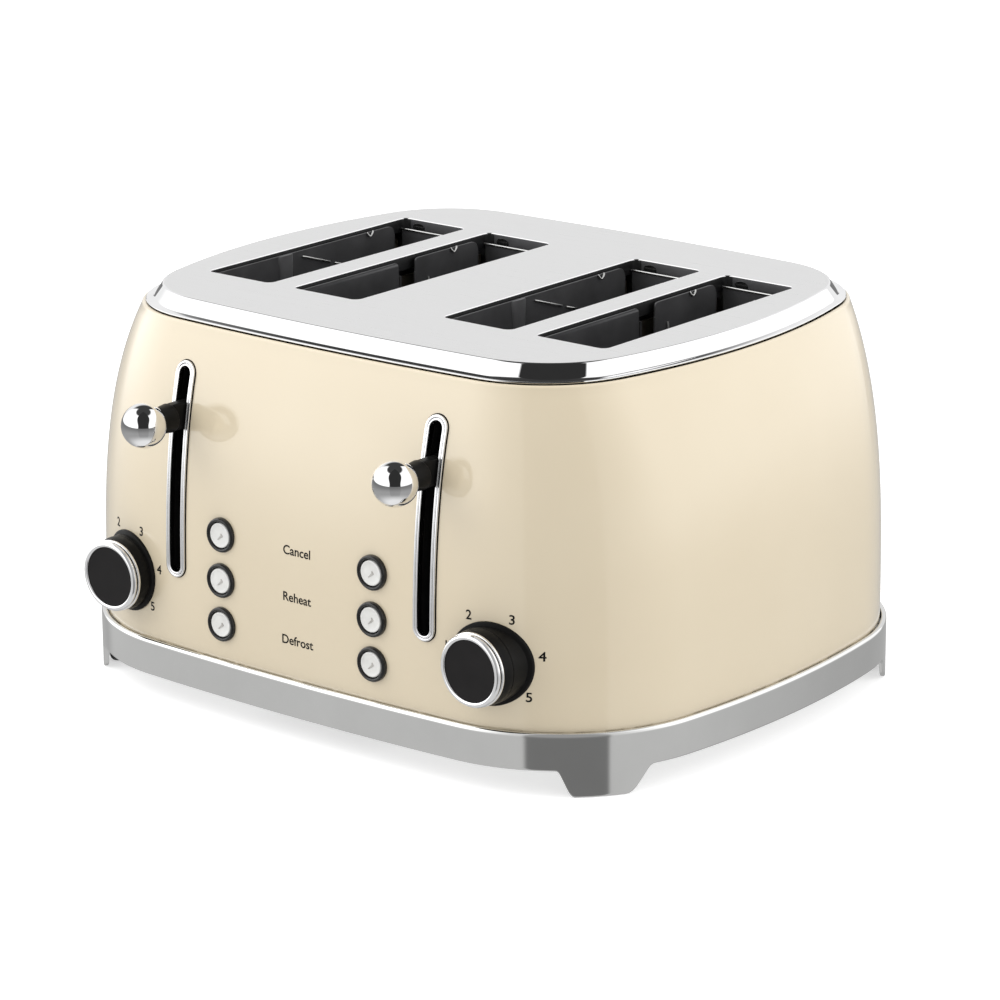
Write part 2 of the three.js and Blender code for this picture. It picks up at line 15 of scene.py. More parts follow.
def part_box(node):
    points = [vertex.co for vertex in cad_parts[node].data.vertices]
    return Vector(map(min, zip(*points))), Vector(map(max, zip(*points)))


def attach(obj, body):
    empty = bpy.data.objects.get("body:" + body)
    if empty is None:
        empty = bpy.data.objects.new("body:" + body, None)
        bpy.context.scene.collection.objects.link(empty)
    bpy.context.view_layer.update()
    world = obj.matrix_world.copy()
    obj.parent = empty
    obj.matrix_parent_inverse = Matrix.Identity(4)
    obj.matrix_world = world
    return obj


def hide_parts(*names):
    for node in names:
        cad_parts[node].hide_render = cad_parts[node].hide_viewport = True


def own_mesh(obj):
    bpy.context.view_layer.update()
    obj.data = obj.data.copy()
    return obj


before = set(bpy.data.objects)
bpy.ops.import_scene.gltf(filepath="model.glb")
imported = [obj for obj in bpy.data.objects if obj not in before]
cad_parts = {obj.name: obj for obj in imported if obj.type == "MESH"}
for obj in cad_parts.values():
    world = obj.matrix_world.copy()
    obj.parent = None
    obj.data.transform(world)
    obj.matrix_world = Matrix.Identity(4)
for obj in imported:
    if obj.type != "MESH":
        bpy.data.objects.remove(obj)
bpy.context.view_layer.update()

MM = 0.001
SIDES = (("left", -1), ("right", 1))


def cad_box(node):
    """Lowest and highest corner of a CAD node, in millimetres of the body frame."""
    low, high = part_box(node)
    shift = Vector((0, CENTRE_Y, 0))
    return (Vector(low) - shift) / MM, (Vector(high) - shift) / MM


CENTRE_Y = sum(corner[1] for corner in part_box("base_ring")) / 2
RING_HIGH = cad_box("base_ring")[1]
PLATE_LOW, PLATE_HIGH = cad_box("top_plate")
TOP_Z = PLATE_HIGH.z


def place(x, y, z):
    return Vector((x * MM, y * MM + CENTRE_Y, z * MM))


# ------------------------------------------------------------------ outlines


class Outline:
    """Rounded rectangle with bowed sides, in plan: half sizes, bow radii and corner radius."""

    STEPS = (46, 24, 14)

    def __init__(self, half_width, half_depth, front_bow, side_bow, corner, y=0.0):
        self.values = (half_width, half_depth, front_bow, side_bow, corner, y)
        self.half_width, self.half_depth, self.front_bow, self.side_bow, self.corner, self.y = self.values
        self.centre = self._corner_centre()

    def inset(self, distance):
        moved = [value - distance for value in self.values[:5]]
        return Outline(*moved, self.y)

    def grown(self, sideways, lengthways):
        wide = self.inset(-sideways)
        return Outline(wide.half_width, self.half_depth + lengthways, *wide.values[2:])

    def blend(self, other, share):
        return Outline(*[a + (b - a) * share for a, b in zip(self.values, other.values)])

    def _corner_centre(self):
        """Centre of the corner arc that touches the front arc and the side arc from inside."""
        front = Vector((0, self.front_bow - self.half_depth))
        side = Vector((self.half_width - self.side_bow, 0))
        reach_front = self.front_bow - self.corner
        reach_side = self.side_bow - self.corner
        span = (side - front).length
        along = (reach_front**2 - reach_side**2 + span**2) / (2 * span)
        across = math.sqrt(reach_front**2 - along**2)
        unit = (side - front) / span
        return front + unit * along + Vector((-unit.y, unit.x)) * across

    def quarter(self, steps):
        front = Vector((0, self.front_bow - self.half_depth))
        side = Vector((self.half_width - self.side_bow, 0))
        leave = math.atan2(self.centre.y - front.y, self.centre.x - front.x)
        arrive = math.atan2(self.centre.y - side.y, self.centre.x - side.x)
        arcs = (
            (front, self.front_bow, -math.pi / 2, leave, steps[0]),
            (self.centre, self.corner, leave, arrive, steps[1]),
            (side, self.side_bow, arrive, 0.0, steps[2]),
        )
        points = [Vector((0, -self.half_depth))]
        for centre, radius, start, end, count in arcs:
            for i in range(1, count + 1):
                angle = start + (end - start) * i / count
                points.append(centre + Vector((math.cos(angle), math.sin(angle))) * radius)
        return points

    def points(self, steps=None):
        """The closed loop, anticlockwise from the middle of the front."""
        quarter = self.quarter(steps or self.STEPS)
        back = quarter[::-1]
        loop = [(p.x, p.y) for p in quarter]
        loop += [(p.x, -p.y) for p in back[1:]]
        loop += [(-p.x, -p.y) for p in quarter[1:]]
        loop += [(-p.x, p.y) for p in back[1:-1]]
        return [(x, y + self.y) for x, y in loop]

    def front_y(self, x):
        """Where the front of the outline is at a sideways place x."""
        x = abs(x)
        front_centre = self.front_bow - self.half_depth
        lean = self.centre.x / (self.front_bow - self.corner)
        if x <= lean * self.front_bow:
            return front_centre - math.sqrt(self.front_bow**2 - x**2) + self.y
        reach = max(self.corner**2 - (x - self.centre.x) ** 2, 0.0)
        return self.centre.y - math.sqrt(reach) + self.y


RING = Outline(RING_HIGH.x, RING_HIGH.y, 1482, 464, 81)
RING_WALL = 2.4
RING_BOTTOM = 12.0
RING_TOP = RING_HIGH.z

BODY_FOOT = Outline(RING.half_width - 3.05, RING.half_depth - 3.05, 1482, 464, 78)
BODY_LIP = Outline(147, 124.5, 1422, 310, 56, 4.57)
BODY_LIP_Z = 176.5
BODY_CURVE = 3.2
BODY_WALL = 1.2

PLATE = Outline(138.9, 113.7, 1422, 298, 46.4, 4.57)
FLANGE_Z = PLATE_LOW.z

WELL_X = (44.33, 96.89)
SLOT_HALF_WIDTH = 19.35
SLOT_HALF_LENGTH = 70.25
SLOT_Y = 6.48

BALL_LOW, BALL_HIGH = cad_box("lever_ball_right")
LEVER_X = BALL_LOW.x / 2 + BALL_HIGH.x / 2
LEVER_Z = BALL_LOW.z / 2 + BALL_HIGH.z / 2
BALL_R = 10.2
BALL_Y = BALL_LOW.y + BALL_R
BEZEL_LOW, BEZEL_HIGH = cad_box("lever_bezel_right")
BEZEL_R = (BEZEL_HIGH.x - BEZEL_LOW.x) / 2
BEZEL_OPEN_R = 3.4
BEZEL_GROOVE = 0.8                  # what lies lower than this between the two beads is painted black

KNOB_LOW, KNOB_HIGH = cad_box("browning_knob_right")
KNOB_X = (KNOB_LOW.x + KNOB_HIGH.x) / 2
KNOB_Z = (KNOB_LOW.z + KNOB_HIGH.z) / 2
KNOB_FRONT = KNOB_LOW.y
KNOB_REAR_R = (KNOB_HIGH.x - KNOB_LOW.x) / 2
KNOB_FRONT_R = 16.4
KNOB_REAR = -135.8

BUTTON_X = 44.5
BUTTON_LOW, BUTTON_HIGH = cad_box("button_right_1")
BUTTON_R = (BUTTON_HIGH.x - BUTTON_LOW.x) / 2
BUTTON_RING = (6.1, 8.0)            # inside and outside radius of the black surround
BUTTON_ROWS = [sum(corner.z for corner in cad_box(f"button_right_{row}")) / 2 for row in (1, 2, 3)]

GLAND_Z = sum(corner.z for corner in cad_box("cord_gland")) / 2


def body_outline(z, inset=0.0):
    share = max(0.0, (z - RING_TOP) / (BODY_LIP_Z - RING_TOP)) ** BODY_CURVE
    return BODY_FOOT.blend(BODY_LIP, share).inset(inset)


def panel_y(x, z):
    """Where the outside of the body's front is."""
    return body_outline(z).front_y(x)


# ------------------------------------------------------------------ mesh helpers


def make_object(name, points, faces, materials, face_materials=None, sharp=35.0):
    mesh = bpy.data.meshes.new(name)
    mesh.from_pydata([place(*p) for p in points], [], faces)
    for material in materials:
        mesh.materials.append(material)
    if face_materials:
        mesh.polygons.foreach_set("material_index", face_materials)
    finish_mesh(mesh, sharp)
    obj = bpy.data.objects.new(name, mesh)
    bpy.context.scene.collection.objects.link(obj)
    return obj


def finish_mesh(mesh, sharp=35.0):
    """Faces out, smooth, and creased where faces meet at more than the sharp angle."""
    mesh.validate()
    edit = bmesh.new()
    edit.from_mesh(mesh)
    bmesh.ops.recalc_face_normals(edit, faces=edit.faces)
    edit.to_mesh(mesh)
    edit.free()
    mesh.polygons.foreach_set("use_smooth", [True] * len(mesh.polygons))
    mesh.set_sharp_from_angle(angle=math.radians(sharp))


def fit(obj, body, slot, *nodes):
    """The piece rides on a body and stands for CAD nodes, which it hides. The slot is not used."""
    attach(obj, body)
    if nodes:
        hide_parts(*nodes)
    return obj


def ring_faces(rings, count, closed=False):
    """Quads between neighbouring rings of the same count; closed joins the last ring to the first."""
    faces = []
    last = rings if closed else rings - 1
    for i in range(last):
        low = i * count
        high = ((i + 1) % rings) * count
        for j in range(count):
            k = (j + 1) % count
            faces.append((low + j, low + k, high + k, high + j))
    return faces


def skin(name, loops, materials, bands=None, closed=False, sharp=35.0):
    """An object from loops with the same number of points, joined one to the next."""
    points = [p for loop in loops for p in loop]
    return make_object(name, points, ring_faces(len(loops), len(loops[0]), closed), materials, bands, sharp)


def outline_loops(sections, steps=None):
    """A loop of points for each (outline, z) section."""
    return [[(x, y, z) for x, y in outline.points(steps)] for outline, z in sections]


def lathe_y(name, profile, x, z, material, segments=96, sharp=35.0):
    """A turned piece on an axis along y, from (radius, y) pairs."""
    points = []
    rings = []
    for radius, y in profile:
        if radius < 1e-6:
            rings.append([len(points)])
            points.append((x, y, z))
            continue
        rings.append(list(range(len(points), len(points) + segments)))
        for i in range(segments):
            angle = 2 * math.pi * i / segments
            points.append((x + radius * math.cos(angle), y, z + radius * math.sin(angle)))
    faces = []
    for low, high in zip(rings, rings[1:]):
        for i in range(segments):
            k = (i + 1) % segments
            corners = [low[i % len(low)], low[k % len(low)], high[k % len(high)], high[i % len(high)]]
            unique = list(dict.fromkeys(corners))
            if len(unique) > 2:
                faces.append(unique)
    return make_object(name, points, faces, [material], sharp=sharp)


def lathe_z(name, profile, x, y, material, segments):
    """A turned piece on an upright axis, from (radius, z) pairs."""
    obj = lathe_y(name, profile, 0, 0, material, segments)
    turn = Matrix.Rotation(math.radians(90), 4, "X")
    lift = Matrix.Translation(place(x, y, 0)) @ turn @ Matrix.Translation(-place(0, 0, 0))
    obj.data.transform(lift)
    return obj


def corner_curve(before, corner, after, radius, steps):
    """Points that round a corner off, going no further than about half way along either side."""
    c = Vector(corner)
    to_before = Vector(before) - c
    to_after = Vector(after) - c
    reach = min(radius, to_before.length * 0.48, to_after.length * 0.48)
    start = c + to_before.normalized() * reach
    end = c + to_after.normalized() * reach
    shares = [i / steps for i in range(steps + 1)]
    return [tuple(start * (1 - t) ** 2 + c * 2 * t * (1 - t) + end * t**2) for t in shares]


def rounded(corners, radius, steps=4):
    """Rounds the inner corners of an open (a, b) profile."""
    points = [corners[0]]
    for before, corner, after in zip(corners, corners[1:], corners[2:]):
        points += corner_curve(before, corner, after, radius, steps)
    return [*points, corners[-1]]


def rounded_loop(corners, steps):
    """Anticlockwise loop through (u, v, radius) corners."""
    loop = []
    for i, (u, v, radius) in enumerate(corners):
        after = corners[(i + 1) % len(corners)][:2]
        loop += corner_curve(corners[i - 1][:2], (u, v), after, radius, steps)
    return loop


def stadium(x, low, high, radius, ends=14, sides=30):
    """Closed upright loop of (x, z) points; low and high are the middles of its round ends."""
    loop = []
    for i in range(sides):
        loop.append((x + radius, low + (high - low) * i / sides))
    for i in range(ends):
        angle = math.pi * i / ends
        loop.append((x + radius * math.cos(angle), high + radius * math.sin(angle)))
    for i in range(sides):
        loop.append((x - radius, high + (low - high) * i / sides))
    for i in range(ends):
        angle = math.pi + math.pi * i / ends
        loop.append((x + radius * math.cos(angle), low + radius * math.sin(angle)))
    return loop


def rounded_rect(cx, cy, half_width, half_length, radius, corner_steps=8):
    """Closed plan loop of a rectangle with round corners."""
    loop = []
    corners = ((1, -1, -90), (1, 1, 0), (-1, 1, 90), (-1, -1, 180))
    for sx, sy, start in corners:
        x = cx + sx * (half_width - radius)
        y = cy + sy * (half_length - radius)
        for i in range(corner_steps + 1):
            angle = math.radians(start + 90 * i / corner_steps)
            loop.append((x + radius * math.cos(angle), y + radius * math.sin(angle)))
    return loop


def offset_loop(loop, distance):
    """Moves an anticlockwise loop outwards."""
    moved = []
    for i, (u, v) in enumerate(loop):
        before = loop[i - 1]
        after = loop[(i + 1) % len(loop)]
        along = Vector((after[0] - before[0], after[1] - before[1])).normalized()
        moved.append((u + along.y * distance, v - along.x * distance))
    return moved


def sheet(name, outline, holes, thickness, to_point, material, ease=0.15, sharp=30.0):
    """Sheet with holes and eased edges. to_point turns (u, v, depth) into a place."""
    loops = [outline, *holes]
    layers = ((0.0, ease), (ease, 0.0), (thickness - ease, 0.0), (thickness, ease))
    points = []
    faces = []
    caps = ([], [])
    for index, loop in enumerate(loops):
        count = len(loop)
        first = len(points)
        for depth, back in layers:
            moved = offset_loop(loop, back if index else -back) if back else loop
            points += [to_point(u, v, depth) for u, v in moved]
        for i in range(len(layers) - 1):
            low = first + i * count
            for j in range(count):
                k = (j + 1) % count
                faces.append((low + j, low + k, low + count + k, low + count + j))
        caps[0].append(range(first, first + count))
        caps[1].append(range(first + 3 * count, first + 4 * count))
    for cap in caps:
        order = [i for loop in cap for i in loop]
        flat = [[Vector((*uv, 0)) for uv in loop] for loop in loops]
        faces += [tuple(order[i] for i in triangle) for triangle in tessellate_polygon(flat)]
    return make_object(name, points, faces, [material], sharp=sharp)


def wire(name, path, radius, material, resolution=6, cyclic=False):
    """A round wire through points, as a mesh tube."""
    curve = bpy.data.curves.new(name, "CURVE")
    curve.dimensions = "3D"
    curve.bevel_depth = radius * MM
    curve.bevel_resolution = resolution
    curve.use_fill_caps = True
    spline = curve.splines.new("POLY")
    spline.points.add(len(path) - 1)
    for point, target in zip(path, spline.points):
        target.co = (*place(*point), 1)
    spline.use_cyclic_u = cyclic
    return mesh_from_curve(name, curve, material)


def mesh_from_curve(name, curve, material, sharp=50.0):
    holder = bpy.data.objects.new(name + "_curve", curve)
    bpy.context.scene.collection.objects.link(holder)
    graph = bpy.context.evaluated_depsgraph_get()
    mesh = bpy.data.meshes.new_from_object(holder.evaluated_get(graph))
    bpy.data.objects.remove(holder)
    mesh.name = name
    mesh.materials.clear()
    mesh.materials.append(material)
    mesh.polygons.foreach_set("use_smooth", [True] * len(mesh.polygons))
    mesh.set_sharp_from_angle(angle=math.radians(sharp))
    obj = bpy.data.objects.new(name, mesh)
    bpy.context.scene.collection.objects.link(obj)
    return obj


def joined(name, objects):
    """Several meshes as one object; the first one's material slots are kept in order."""
    target = bmesh.new()
    materials = []
    for obj in objects:
        for material in obj.data.materials:
            if material not in materials:
                materials.append(material)
    for obj in objects:
        index = [materials.index(material) for material in obj.data.materials]
        start = len(target.faces)
        target.from_mesh(obj.data)
        target.faces.ensure_lookup_table()
        for face in target.faces[start:]:
            face.material_index = index[min(face.material_index, len(index) - 1)]
    mesh = bpy.data.meshes.new(name)
    target.to_mesh(mesh)
    target.free()
    for material in materials:
        mesh.materials.append(material)
    for obj in objects:
        bpy.data.objects.remove(obj)
    whole = bpy.data.objects.new(name, mesh)
    bpy.context.scene.collection.objects.link(whole)
    return whole


def box_mesh(name, x, y, z, material, bevel=0.0):
    """A box between (low, high) pairs, with rounded edges if it has a bevel."""
    corners = [(a, b, c) for c in z for b in y for a in x]
    faces = [(0, 2, 3, 1), (4, 5, 7, 6), (0, 1, 5, 4), (1, 3, 7, 5), (3, 2, 6, 7), (2, 0, 4, 6)]
    obj = make_object(name, corners, faces, [material])
    if bevel:
        edit = bmesh.new()
        edit.from_mesh(obj.data)
        edges = edit.edges[:]
        bmesh.ops.bevel(edit, geom=edges, offset=bevel * MM, segments=4, affect="EDGES", profile=0.5)
        edit.to_mesh(obj.data)
        edit.free()
        finish_mesh(obj.data, 40)
    return obj


def cut_with(obj, cutters, smooth_like=None):
    """Cuts holes. smooth_like is an uncut copy whose smooth normals are kept on what remains."""
    for cutter in cutters:
        modifier = obj.modifiers.new(cutter.name, "BOOLEAN")
        modifier.operation = "DIFFERENCE"
        modifier.solver = "EXACT"
        modifier.object = cutter
    if smooth_like:
        transfer = obj.modifiers.new("normals", "DATA_TRANSFER")
        transfer.object = smooth_like
        transfer.use_loop_data = True
        transfer.data_types_loops = {"CUSTOM_NORMAL"}
        transfer.loop_mapping = "POLYINTERP_NEAREST"
    graph = bpy.context.evaluated_depsgraph_get()
    mesh = bpy.data.meshes.new_from_object(obj.evaluated_get(graph))
    obj.modifiers.clear()
    obj.data = mesh
    if smooth_like:
        bpy.data.objects.remove(smooth_like)
    for cutter in cutters:
        bpy.data.objects.remove(cutter)


# ------------------------------------------------------------------ materials


def new_material(name, color, roughness, metallic=0.0, **sockets):
    material = bpy.data.materials.new(name)
    material.use_nodes = True
    shader = material.node_tree.nodes["Principled BSDF"]
    shader.inputs["Base Color"].default_value = (*color, 1)
    shader.inputs["Roughness"].default_value = roughness
    shader.inputs["Metallic"].default_value = metallic
    for key, value in sockets.items():
        shader.inputs[key.replace("_", " ")].default_value = value
    return material


def noise(material, scale, detail, stretch=(1, 1, 1)):
    """Noise in object space; stretch is how fast it changes along each axis."""
    nodes = material.node_tree.nodes
    links = material.node_tree.links
    coords = nodes.new("ShaderNodeTexCoord")
    mapping = nodes.new("ShaderNodeMapping")
    mapping.inputs["Scale"].default_value = stretch
    texture = nodes.new("ShaderNodeTexNoise")
    texture.inputs["Scale"].default_value = scale
    texture.inputs["Detail"].default_value = detail
    texture.inputs["Roughness"].default_value = 0.55
    links.new(coords.outputs["Object"], mapping.inputs["Vector"])
    links.new(mapping.outputs["Vector"], texture.inputs["Vector"])
    return texture.outputs["Fac"]


def ramp(material, source, low, high, start=0.3, end=0.7):
    """Maps a 0..1 source onto a range of values."""
    nodes = material.node_tree.nodes
    node = nodes.new("ShaderNodeMapRange")
    node.inputs["From Min"].default_value = start
    node.inputs["From Max"].default_value = end
    node.inputs["To Min"].default_value = low
    node.inputs["To Max"].default_value = high
    material.node_tree.links.new(source, node.inputs["Value"])
    return node.outputs["Result"]


def vary_color(material, source, first, second, start=0.3, end=0.7):
    nodes = material.node_tree.nodes
    node = nodes.new("ShaderNodeValToRGB")
    node.color_ramp.elements[0].position = start
    node.color_ramp.elements[0].color = (*first, 1)
    node.color_ramp.elements[1].position = end
    node.color_ramp.elements[1].color = (*second, 1)
    material.node_tree.links.new(source, node.inputs["Fac"])
    shader = nodes["Principled BSDF"]
    material.node_tree.links.new(node.outputs["Color"], shader.inputs["Base Color"])


def vary_roughness(material, source, low, high, start=0.3, end=0.7):
    shader = material.node_tree.nodes["Principled BSDF"]
    material.node_tree.links.new(ramp(material, source, low, high, start, end), shader.inputs["Roughness"])


def bump(material, source, depth, strength):
    """Surface relief; depth is in millimetres."""
    nodes = material.node_tree.nodes
    links = material.node_tree.links
    node = nodes.new("ShaderNodeBump")
    node.inputs["Strength"].default_value = strength
    node.inputs["Distance"].default_value = depth * MM
    links.new(source, node.inputs["Height"])
    links.new(node.outputs["Normal"], nodes["Principled BSDF"].inputs["Normal"])


def enamel_material():
    lacquer = {"Coat_Weight": 1.0, "Coat_Roughness": 0.03, "Coat_IOR": 1.6}
    material = new_material("cream_enamel", (0.735, 0.632, 0.462), 0.3, 0.0, **lacquer)
    vary_color(material, noise(material, 14, 2), (0.72, 0.62, 0.45), (0.74, 0.642, 0.472))
    vary_roughness(material, noise(material, 40, 2), 0.27, 0.34, 0.1, 0.9)
    return material


def satin_grey_material(name, roughness):
    material = new_material(name, (0.72, 0.72, 0.71), roughness, 1.0)
    vary_color(material, noise(material, 30, 4), (0.70, 0.70, 0.69), (0.74, 0.74, 0.73))
    bump(material, noise(material, 3500, 2), 0.0012, 0.4)
    return material


def brushed_material():
    material = new_material("brushed_top", (0.80, 0.80, 0.80), 0.3, 1.0)
    lines = noise(material, 60, 6, stretch=(0.35, 45, 45))
    vary_color(material, lines, (0.775, 0.775, 0.775), (0.825, 0.825, 0.825))
    vary_roughness(material, lines, 0.27, 0.36)
    bump(material, lines, 0.003, 0.4)
    return material


def chrome_material():
    material = new_material("polished_chrome", (0.90, 0.90, 0.905), 0.0, 1.0)
    vary_color(material, noise(material, 120, 4), (0.87, 0.87, 0.875), (0.93, 0.93, 0.935))
    return material


def satin_chrome_material():
    material = new_material("satin_chrome", (0.92, 0.92, 0.925), 0.1, 1.0)
    vary_color(material, noise(material, 160, 4), (0.89, 0.89, 0.895), (0.95, 0.95, 0.955))
    vary_roughness(material, noise(material, 400, 3), 0.07, 0.13)
    return material


def black_plastic_material():
    material = new_material("black_plastic", (0.006, 0.0058, 0.0055), 0.38, 0.0, Specular_IOR_Level=0.1)
    vary_color(material, noise(material, 80, 3), (0.0045, 0.0043, 0.0041), (0.008, 0.0077, 0.0074))
    vary_roughness(material, noise(material, 300, 4), 0.33, 0.44)
    bump(material, noise(material, 2600, 3), 0.006, 0.5)
    return material


def knob_face_material():
    material = new_material("knob_face", (0.009, 0.0082, 0.0085), 0.55, 0.0, Specular_IOR_Level=0.15)
    vary_color(material, noise(material, 120, 3), (0.0075, 0.0068, 0.0071), (0.011, 0.010, 0.0104))
    vary_roughness(material, noise(material, 240, 4), 0.46, 0.58)
    bump(material, noise(material, 1900, 3), 0.012, 0.6)
    return material


def gloss_black_material():
    material = new_material("gloss_black", (0.008, 0.008, 0.008), 0.18, 0.0)
    vary_roughness(material, noise(material, 200, 4), 0.14, 0.24)
    bump(material, noise(material, 900, 2), 0.002, 0.4)
    return material


def button_material():
    material = new_material("button_white", (0.76, 0.76, 0.74), 0.32, 0.0)
    vary_color(material, noise(material, 260, 4), (0.71, 0.71, 0.69), (0.80, 0.80, 0.78))
    bump(material, noise(material, 1600, 3), 0.008, 0.5)
    return material


def tick_material():
    material = new_material("button_tick", (0.36, 0.345, 0.32), 0.45, 0.4)
    vary_color(material, noise(material, 500, 3), (0.40, 0.385, 0.36), (0.56, 0.545, 0.52))
    return material


def print_material():
    material = new_material("black_print", (0.006, 0.006, 0.006), 0.6, 0.0, Specular_IOR_Level=0.1)
    vary_roughness(material, noise(material, 900, 3), 0.38, 0.55)
    return material


def rubber_material():
    material = new_material("rubber", (0.02, 0.02, 0.02), 0.75, 0.0)
    bump(material, noise(material, 1500, 4), 0.02, 0.6)
    vary_roughness(material, noise(material, 150, 4), 0.65, 0.85)
    return material


def bare_steel_material():
    material = new_material("bare_steel", (0.56, 0.56, 0.55), 0.28, 1.0)
    vary_color(material, noise(material, 70, 5), (0.50, 0.50, 0.49), (0.62, 0.62, 0.61))
    vary_roughness(material, noise(material, 130, 5), 0.2, 0.38)
    bump(material, noise(material, 700, 4), 0.004, 0.4)
    return material


def oven_steel_material():
    material = new_material("oven_steel", (0.16, 0.16, 0.165), 0.38, 1.0)
    vary_color(material, noise(material, 25, 5), (0.11, 0.11, 0.115), (0.20, 0.20, 0.205))
    vary_roughness(material, noise(material, 90, 5), 0.3, 0.5)
    bump(material, noise(material, 260, 4), 0.01, 0.4)
    return material


def guide_steel_material(name, dark, light):
    """Dark stained steel, with faint uneven patches. The near-black one on the slots' lips is painted shade.
    """
    material = new_material(name, light, 0.4, 0.35)
    vary_color(material, noise(material, 45, 5), dark, light)
    vary_roughness(material, noise(material, 120, 4), 0.32, 0.46)
    bump(material, noise(material, 420, 4), 0.006, 0.4)
    return material


# The mica is darker than its own tan so that it reads dark through the notches between the guide plates. This
# is partly its own colour and partly painted shade.
def mica_material():
    material = new_material("mica", (0.12, 0.105, 0.08), 0.5, 0.0)
    vary_color(material, noise(material, 60, 8), (0.075, 0.065, 0.048), (0.17, 0.15, 0.115))
    vary_roughness(material, noise(material, 200, 4), 0.3, 0.6)
    bump(material, noise(material, 500, 6), 0.03, 0.6)
    return material


def ribbon_material():
    material = new_material("heating_ribbon", (0.42, 0.40, 0.37), 0.4, 1.0)
    vary_color(material, noise(material, 400, 3), (0.30, 0.26, 0.24), (0.52, 0.50, 0.48))
    return material


def copper_material():
    material = new_material("copper_winding", (0.62, 0.27, 0.12), 0.3, 1.0)
    turns = noise(material, 60, 3, stretch=(1, 1, 60))
    vary_color(material, turns, (0.45, 0.18, 0.08), (0.72, 0.34, 0.16))
    bump(material, turns, 0.1, 0.6)
    return material


def circuit_material():
    material = new_material("circuit_board", (0.03, 0.16, 0.07), 0.4, 0.0, Coat_Weight=0.5)
    vary_color(material, noise(material, 300, 2), (0.02, 0.12, 0.05), (0.05, 0.22, 0.10), 0.45, 0.55)
    bump(material, noise(material, 300, 2), 0.05, 0.5)
    return material


ENAMEL = enamel_material()
SATIN = satin_grey_material("satin_grey", 0.08)
TRAY_STEEL = satin_grey_material("tray_steel", 0.27)
BRUSHED = brushed_material()
CHROME = chrome_material()
SATIN_CHROME = satin_chrome_material()
BLACK = black_plastic_material()
KNOB_FACE = knob_face_material()
GLOSS_BLACK = gloss_black_material()
WHITE = button_material()
TICK = tick_material()
PRINT = print_material()
RUBBER = rubber_material()
STEEL = bare_steel_material()
OVEN = oven_steel_material()
GUIDE_STEEL = guide_steel_material("guide_steel", (0.055, 0.055, 0.057), (0.085, 0.085, 0.088))
RIB_STEEL = guide_steel_material("rib_steel", (0.10, 0.10, 0.103), (0.14, 0.14, 0.144))
END_STEEL = guide_steel_material("end_steel", (0.085, 0.085, 0.087), (0.115, 0.115, 0.118))
# Near-black steel for the slots' turned-down lips below their rounded edge. This is painted shade for the
# dark inner walls of the lips.
PAINTED_SHADE_LIP = guide_steel_material("painted_shade_lip", (0.006, 0.006, 0.006), (0.014, 0.014, 0.015))
MICA_AND_SHADE = mica_material()
RIBBON = ribbon_material()
COPPER = copper_material()
CIRCUIT = circuit_material()


# ------------------------------------------------------------------ camera, light and floor

CAMERA_AZIMUTH = 39.333
CAMERA_ELEVATION = 16.738
CAMERA_ROLL = -0.364
CAMERA_DISTANCE = 1871.0
CAMERA_TARGET = (28.94, -28.8, 91.97)
CAMERA_LENS = 148.45


def make_camera():
    azimuth = math.radians(CAMERA_AZIMUTH)
    elevation = math.radians(CAMERA_ELEVATION)
    roll = math.radians(CAMERA_ROLL)
    flat = math.cos(elevation)
    back = Vector((math.sin(azimuth) * flat, -math.cos(azimuth) * flat, math.sin(elevation)))
    right = Vector((math.cos(azimuth), math.sin(azimuth), 0))
    up = back.cross(right)
    level_right = right * math.cos(roll) + up * math.sin(roll)
    level_up = -right * math.sin(roll) + up * math.cos(roll)
    data = bpy.data.cameras.new("camera")
    data.lens = CAMERA_LENS
    data.sensor_width = 36.0
    data.clip_start = 0.05
    data.clip_end = 50
    camera = bpy.data.objects.new("camera", data)
    bpy.context.scene.collection.objects.link(camera)
    turn = Matrix((level_right, level_up, back)).transposed().to_4x4()
    camera.matrix_world = Matrix.Translation(place(*CAMERA_TARGET) + back * CAMERA_DISTANCE * MM) @ turn
    bpy.context.scene.camera = camera


LEFT_LEVEL = 1.3                    # softboxes left and right of the camera, as chrome shows them
RIGHT_LEVEL = 1.2
SHEEN_BASE = (0.64, 0.48)           # what lacquer shows low down, in front and far round the sides
SHEEN_LEFT = (1.45, 0.15)           # glow added higher up, straight to the left and next to the gap
SHEEN_RIGHT = (0.15, 0.9)           # the same next to the gap and straight to the right
SHEEN_RISE = (-16.0, 3.0)           # elevations between which the glow comes up
BACK_LEVEL = 0.92                   # white wall behind the object
BACK_TOP = (30.0, 46.0)             # where the wall behind ends, softly
CEILING_LEVEL = 0.05                # as chrome shows it, and as lacquer and brushed steel do
SOFT_CEILING_LEVEL = 0.6
CEILING_EDGE = (57.0, 64.0)
FLOOR_LEVELS = (0.20, 0.36, 0.85)   # as chrome shows the floor: at the horizon, nearer, straight below
GAP_AZIMUTH = (15.0, 68.0)          # the unlit gap between the softboxes, from the front to the right
GAP_FLOOR_EDGE = -46.0              # how far the gap's reflection reaches down the floor
GAP_WIDENING = 20.0                 # degrees that chrome shows it widen on each side towards the ceiling
GAP_BLUR = 1.6                      # half width in degrees of the gap's soft edges
GAP_LEVEL = 0.03
GAP_FLOOR_SHARE = 0.85              # the gap on the floor, as a share of the floor beside it
SOFT_GAP_LEVELS = (0.21, 0.40)      # what lacquer and brushed steel show of it, low down and higher up
BACK_AZIMUTH = -100.0               # the wall behind runs on round from here
SEAM_AZIMUTH = (30.0, 50.0)         # where the left softbox gives way to the right one, inside the gap
LEFT_GLOW_AZIMUTH = (-38.0, 14.0)   # azimuths between which each glow changes
RIGHT_GLOW_AZIMUTH = (68.0, 115.0)
BASE_AZIMUTH = (120.0, 165.0)       # how far round the sides SHEEN_BASE drops to its second value
AMBIENT_LEVEL = 0.76                # what rough surfaces see in every direction
FLOOR_GLOW = 0.5


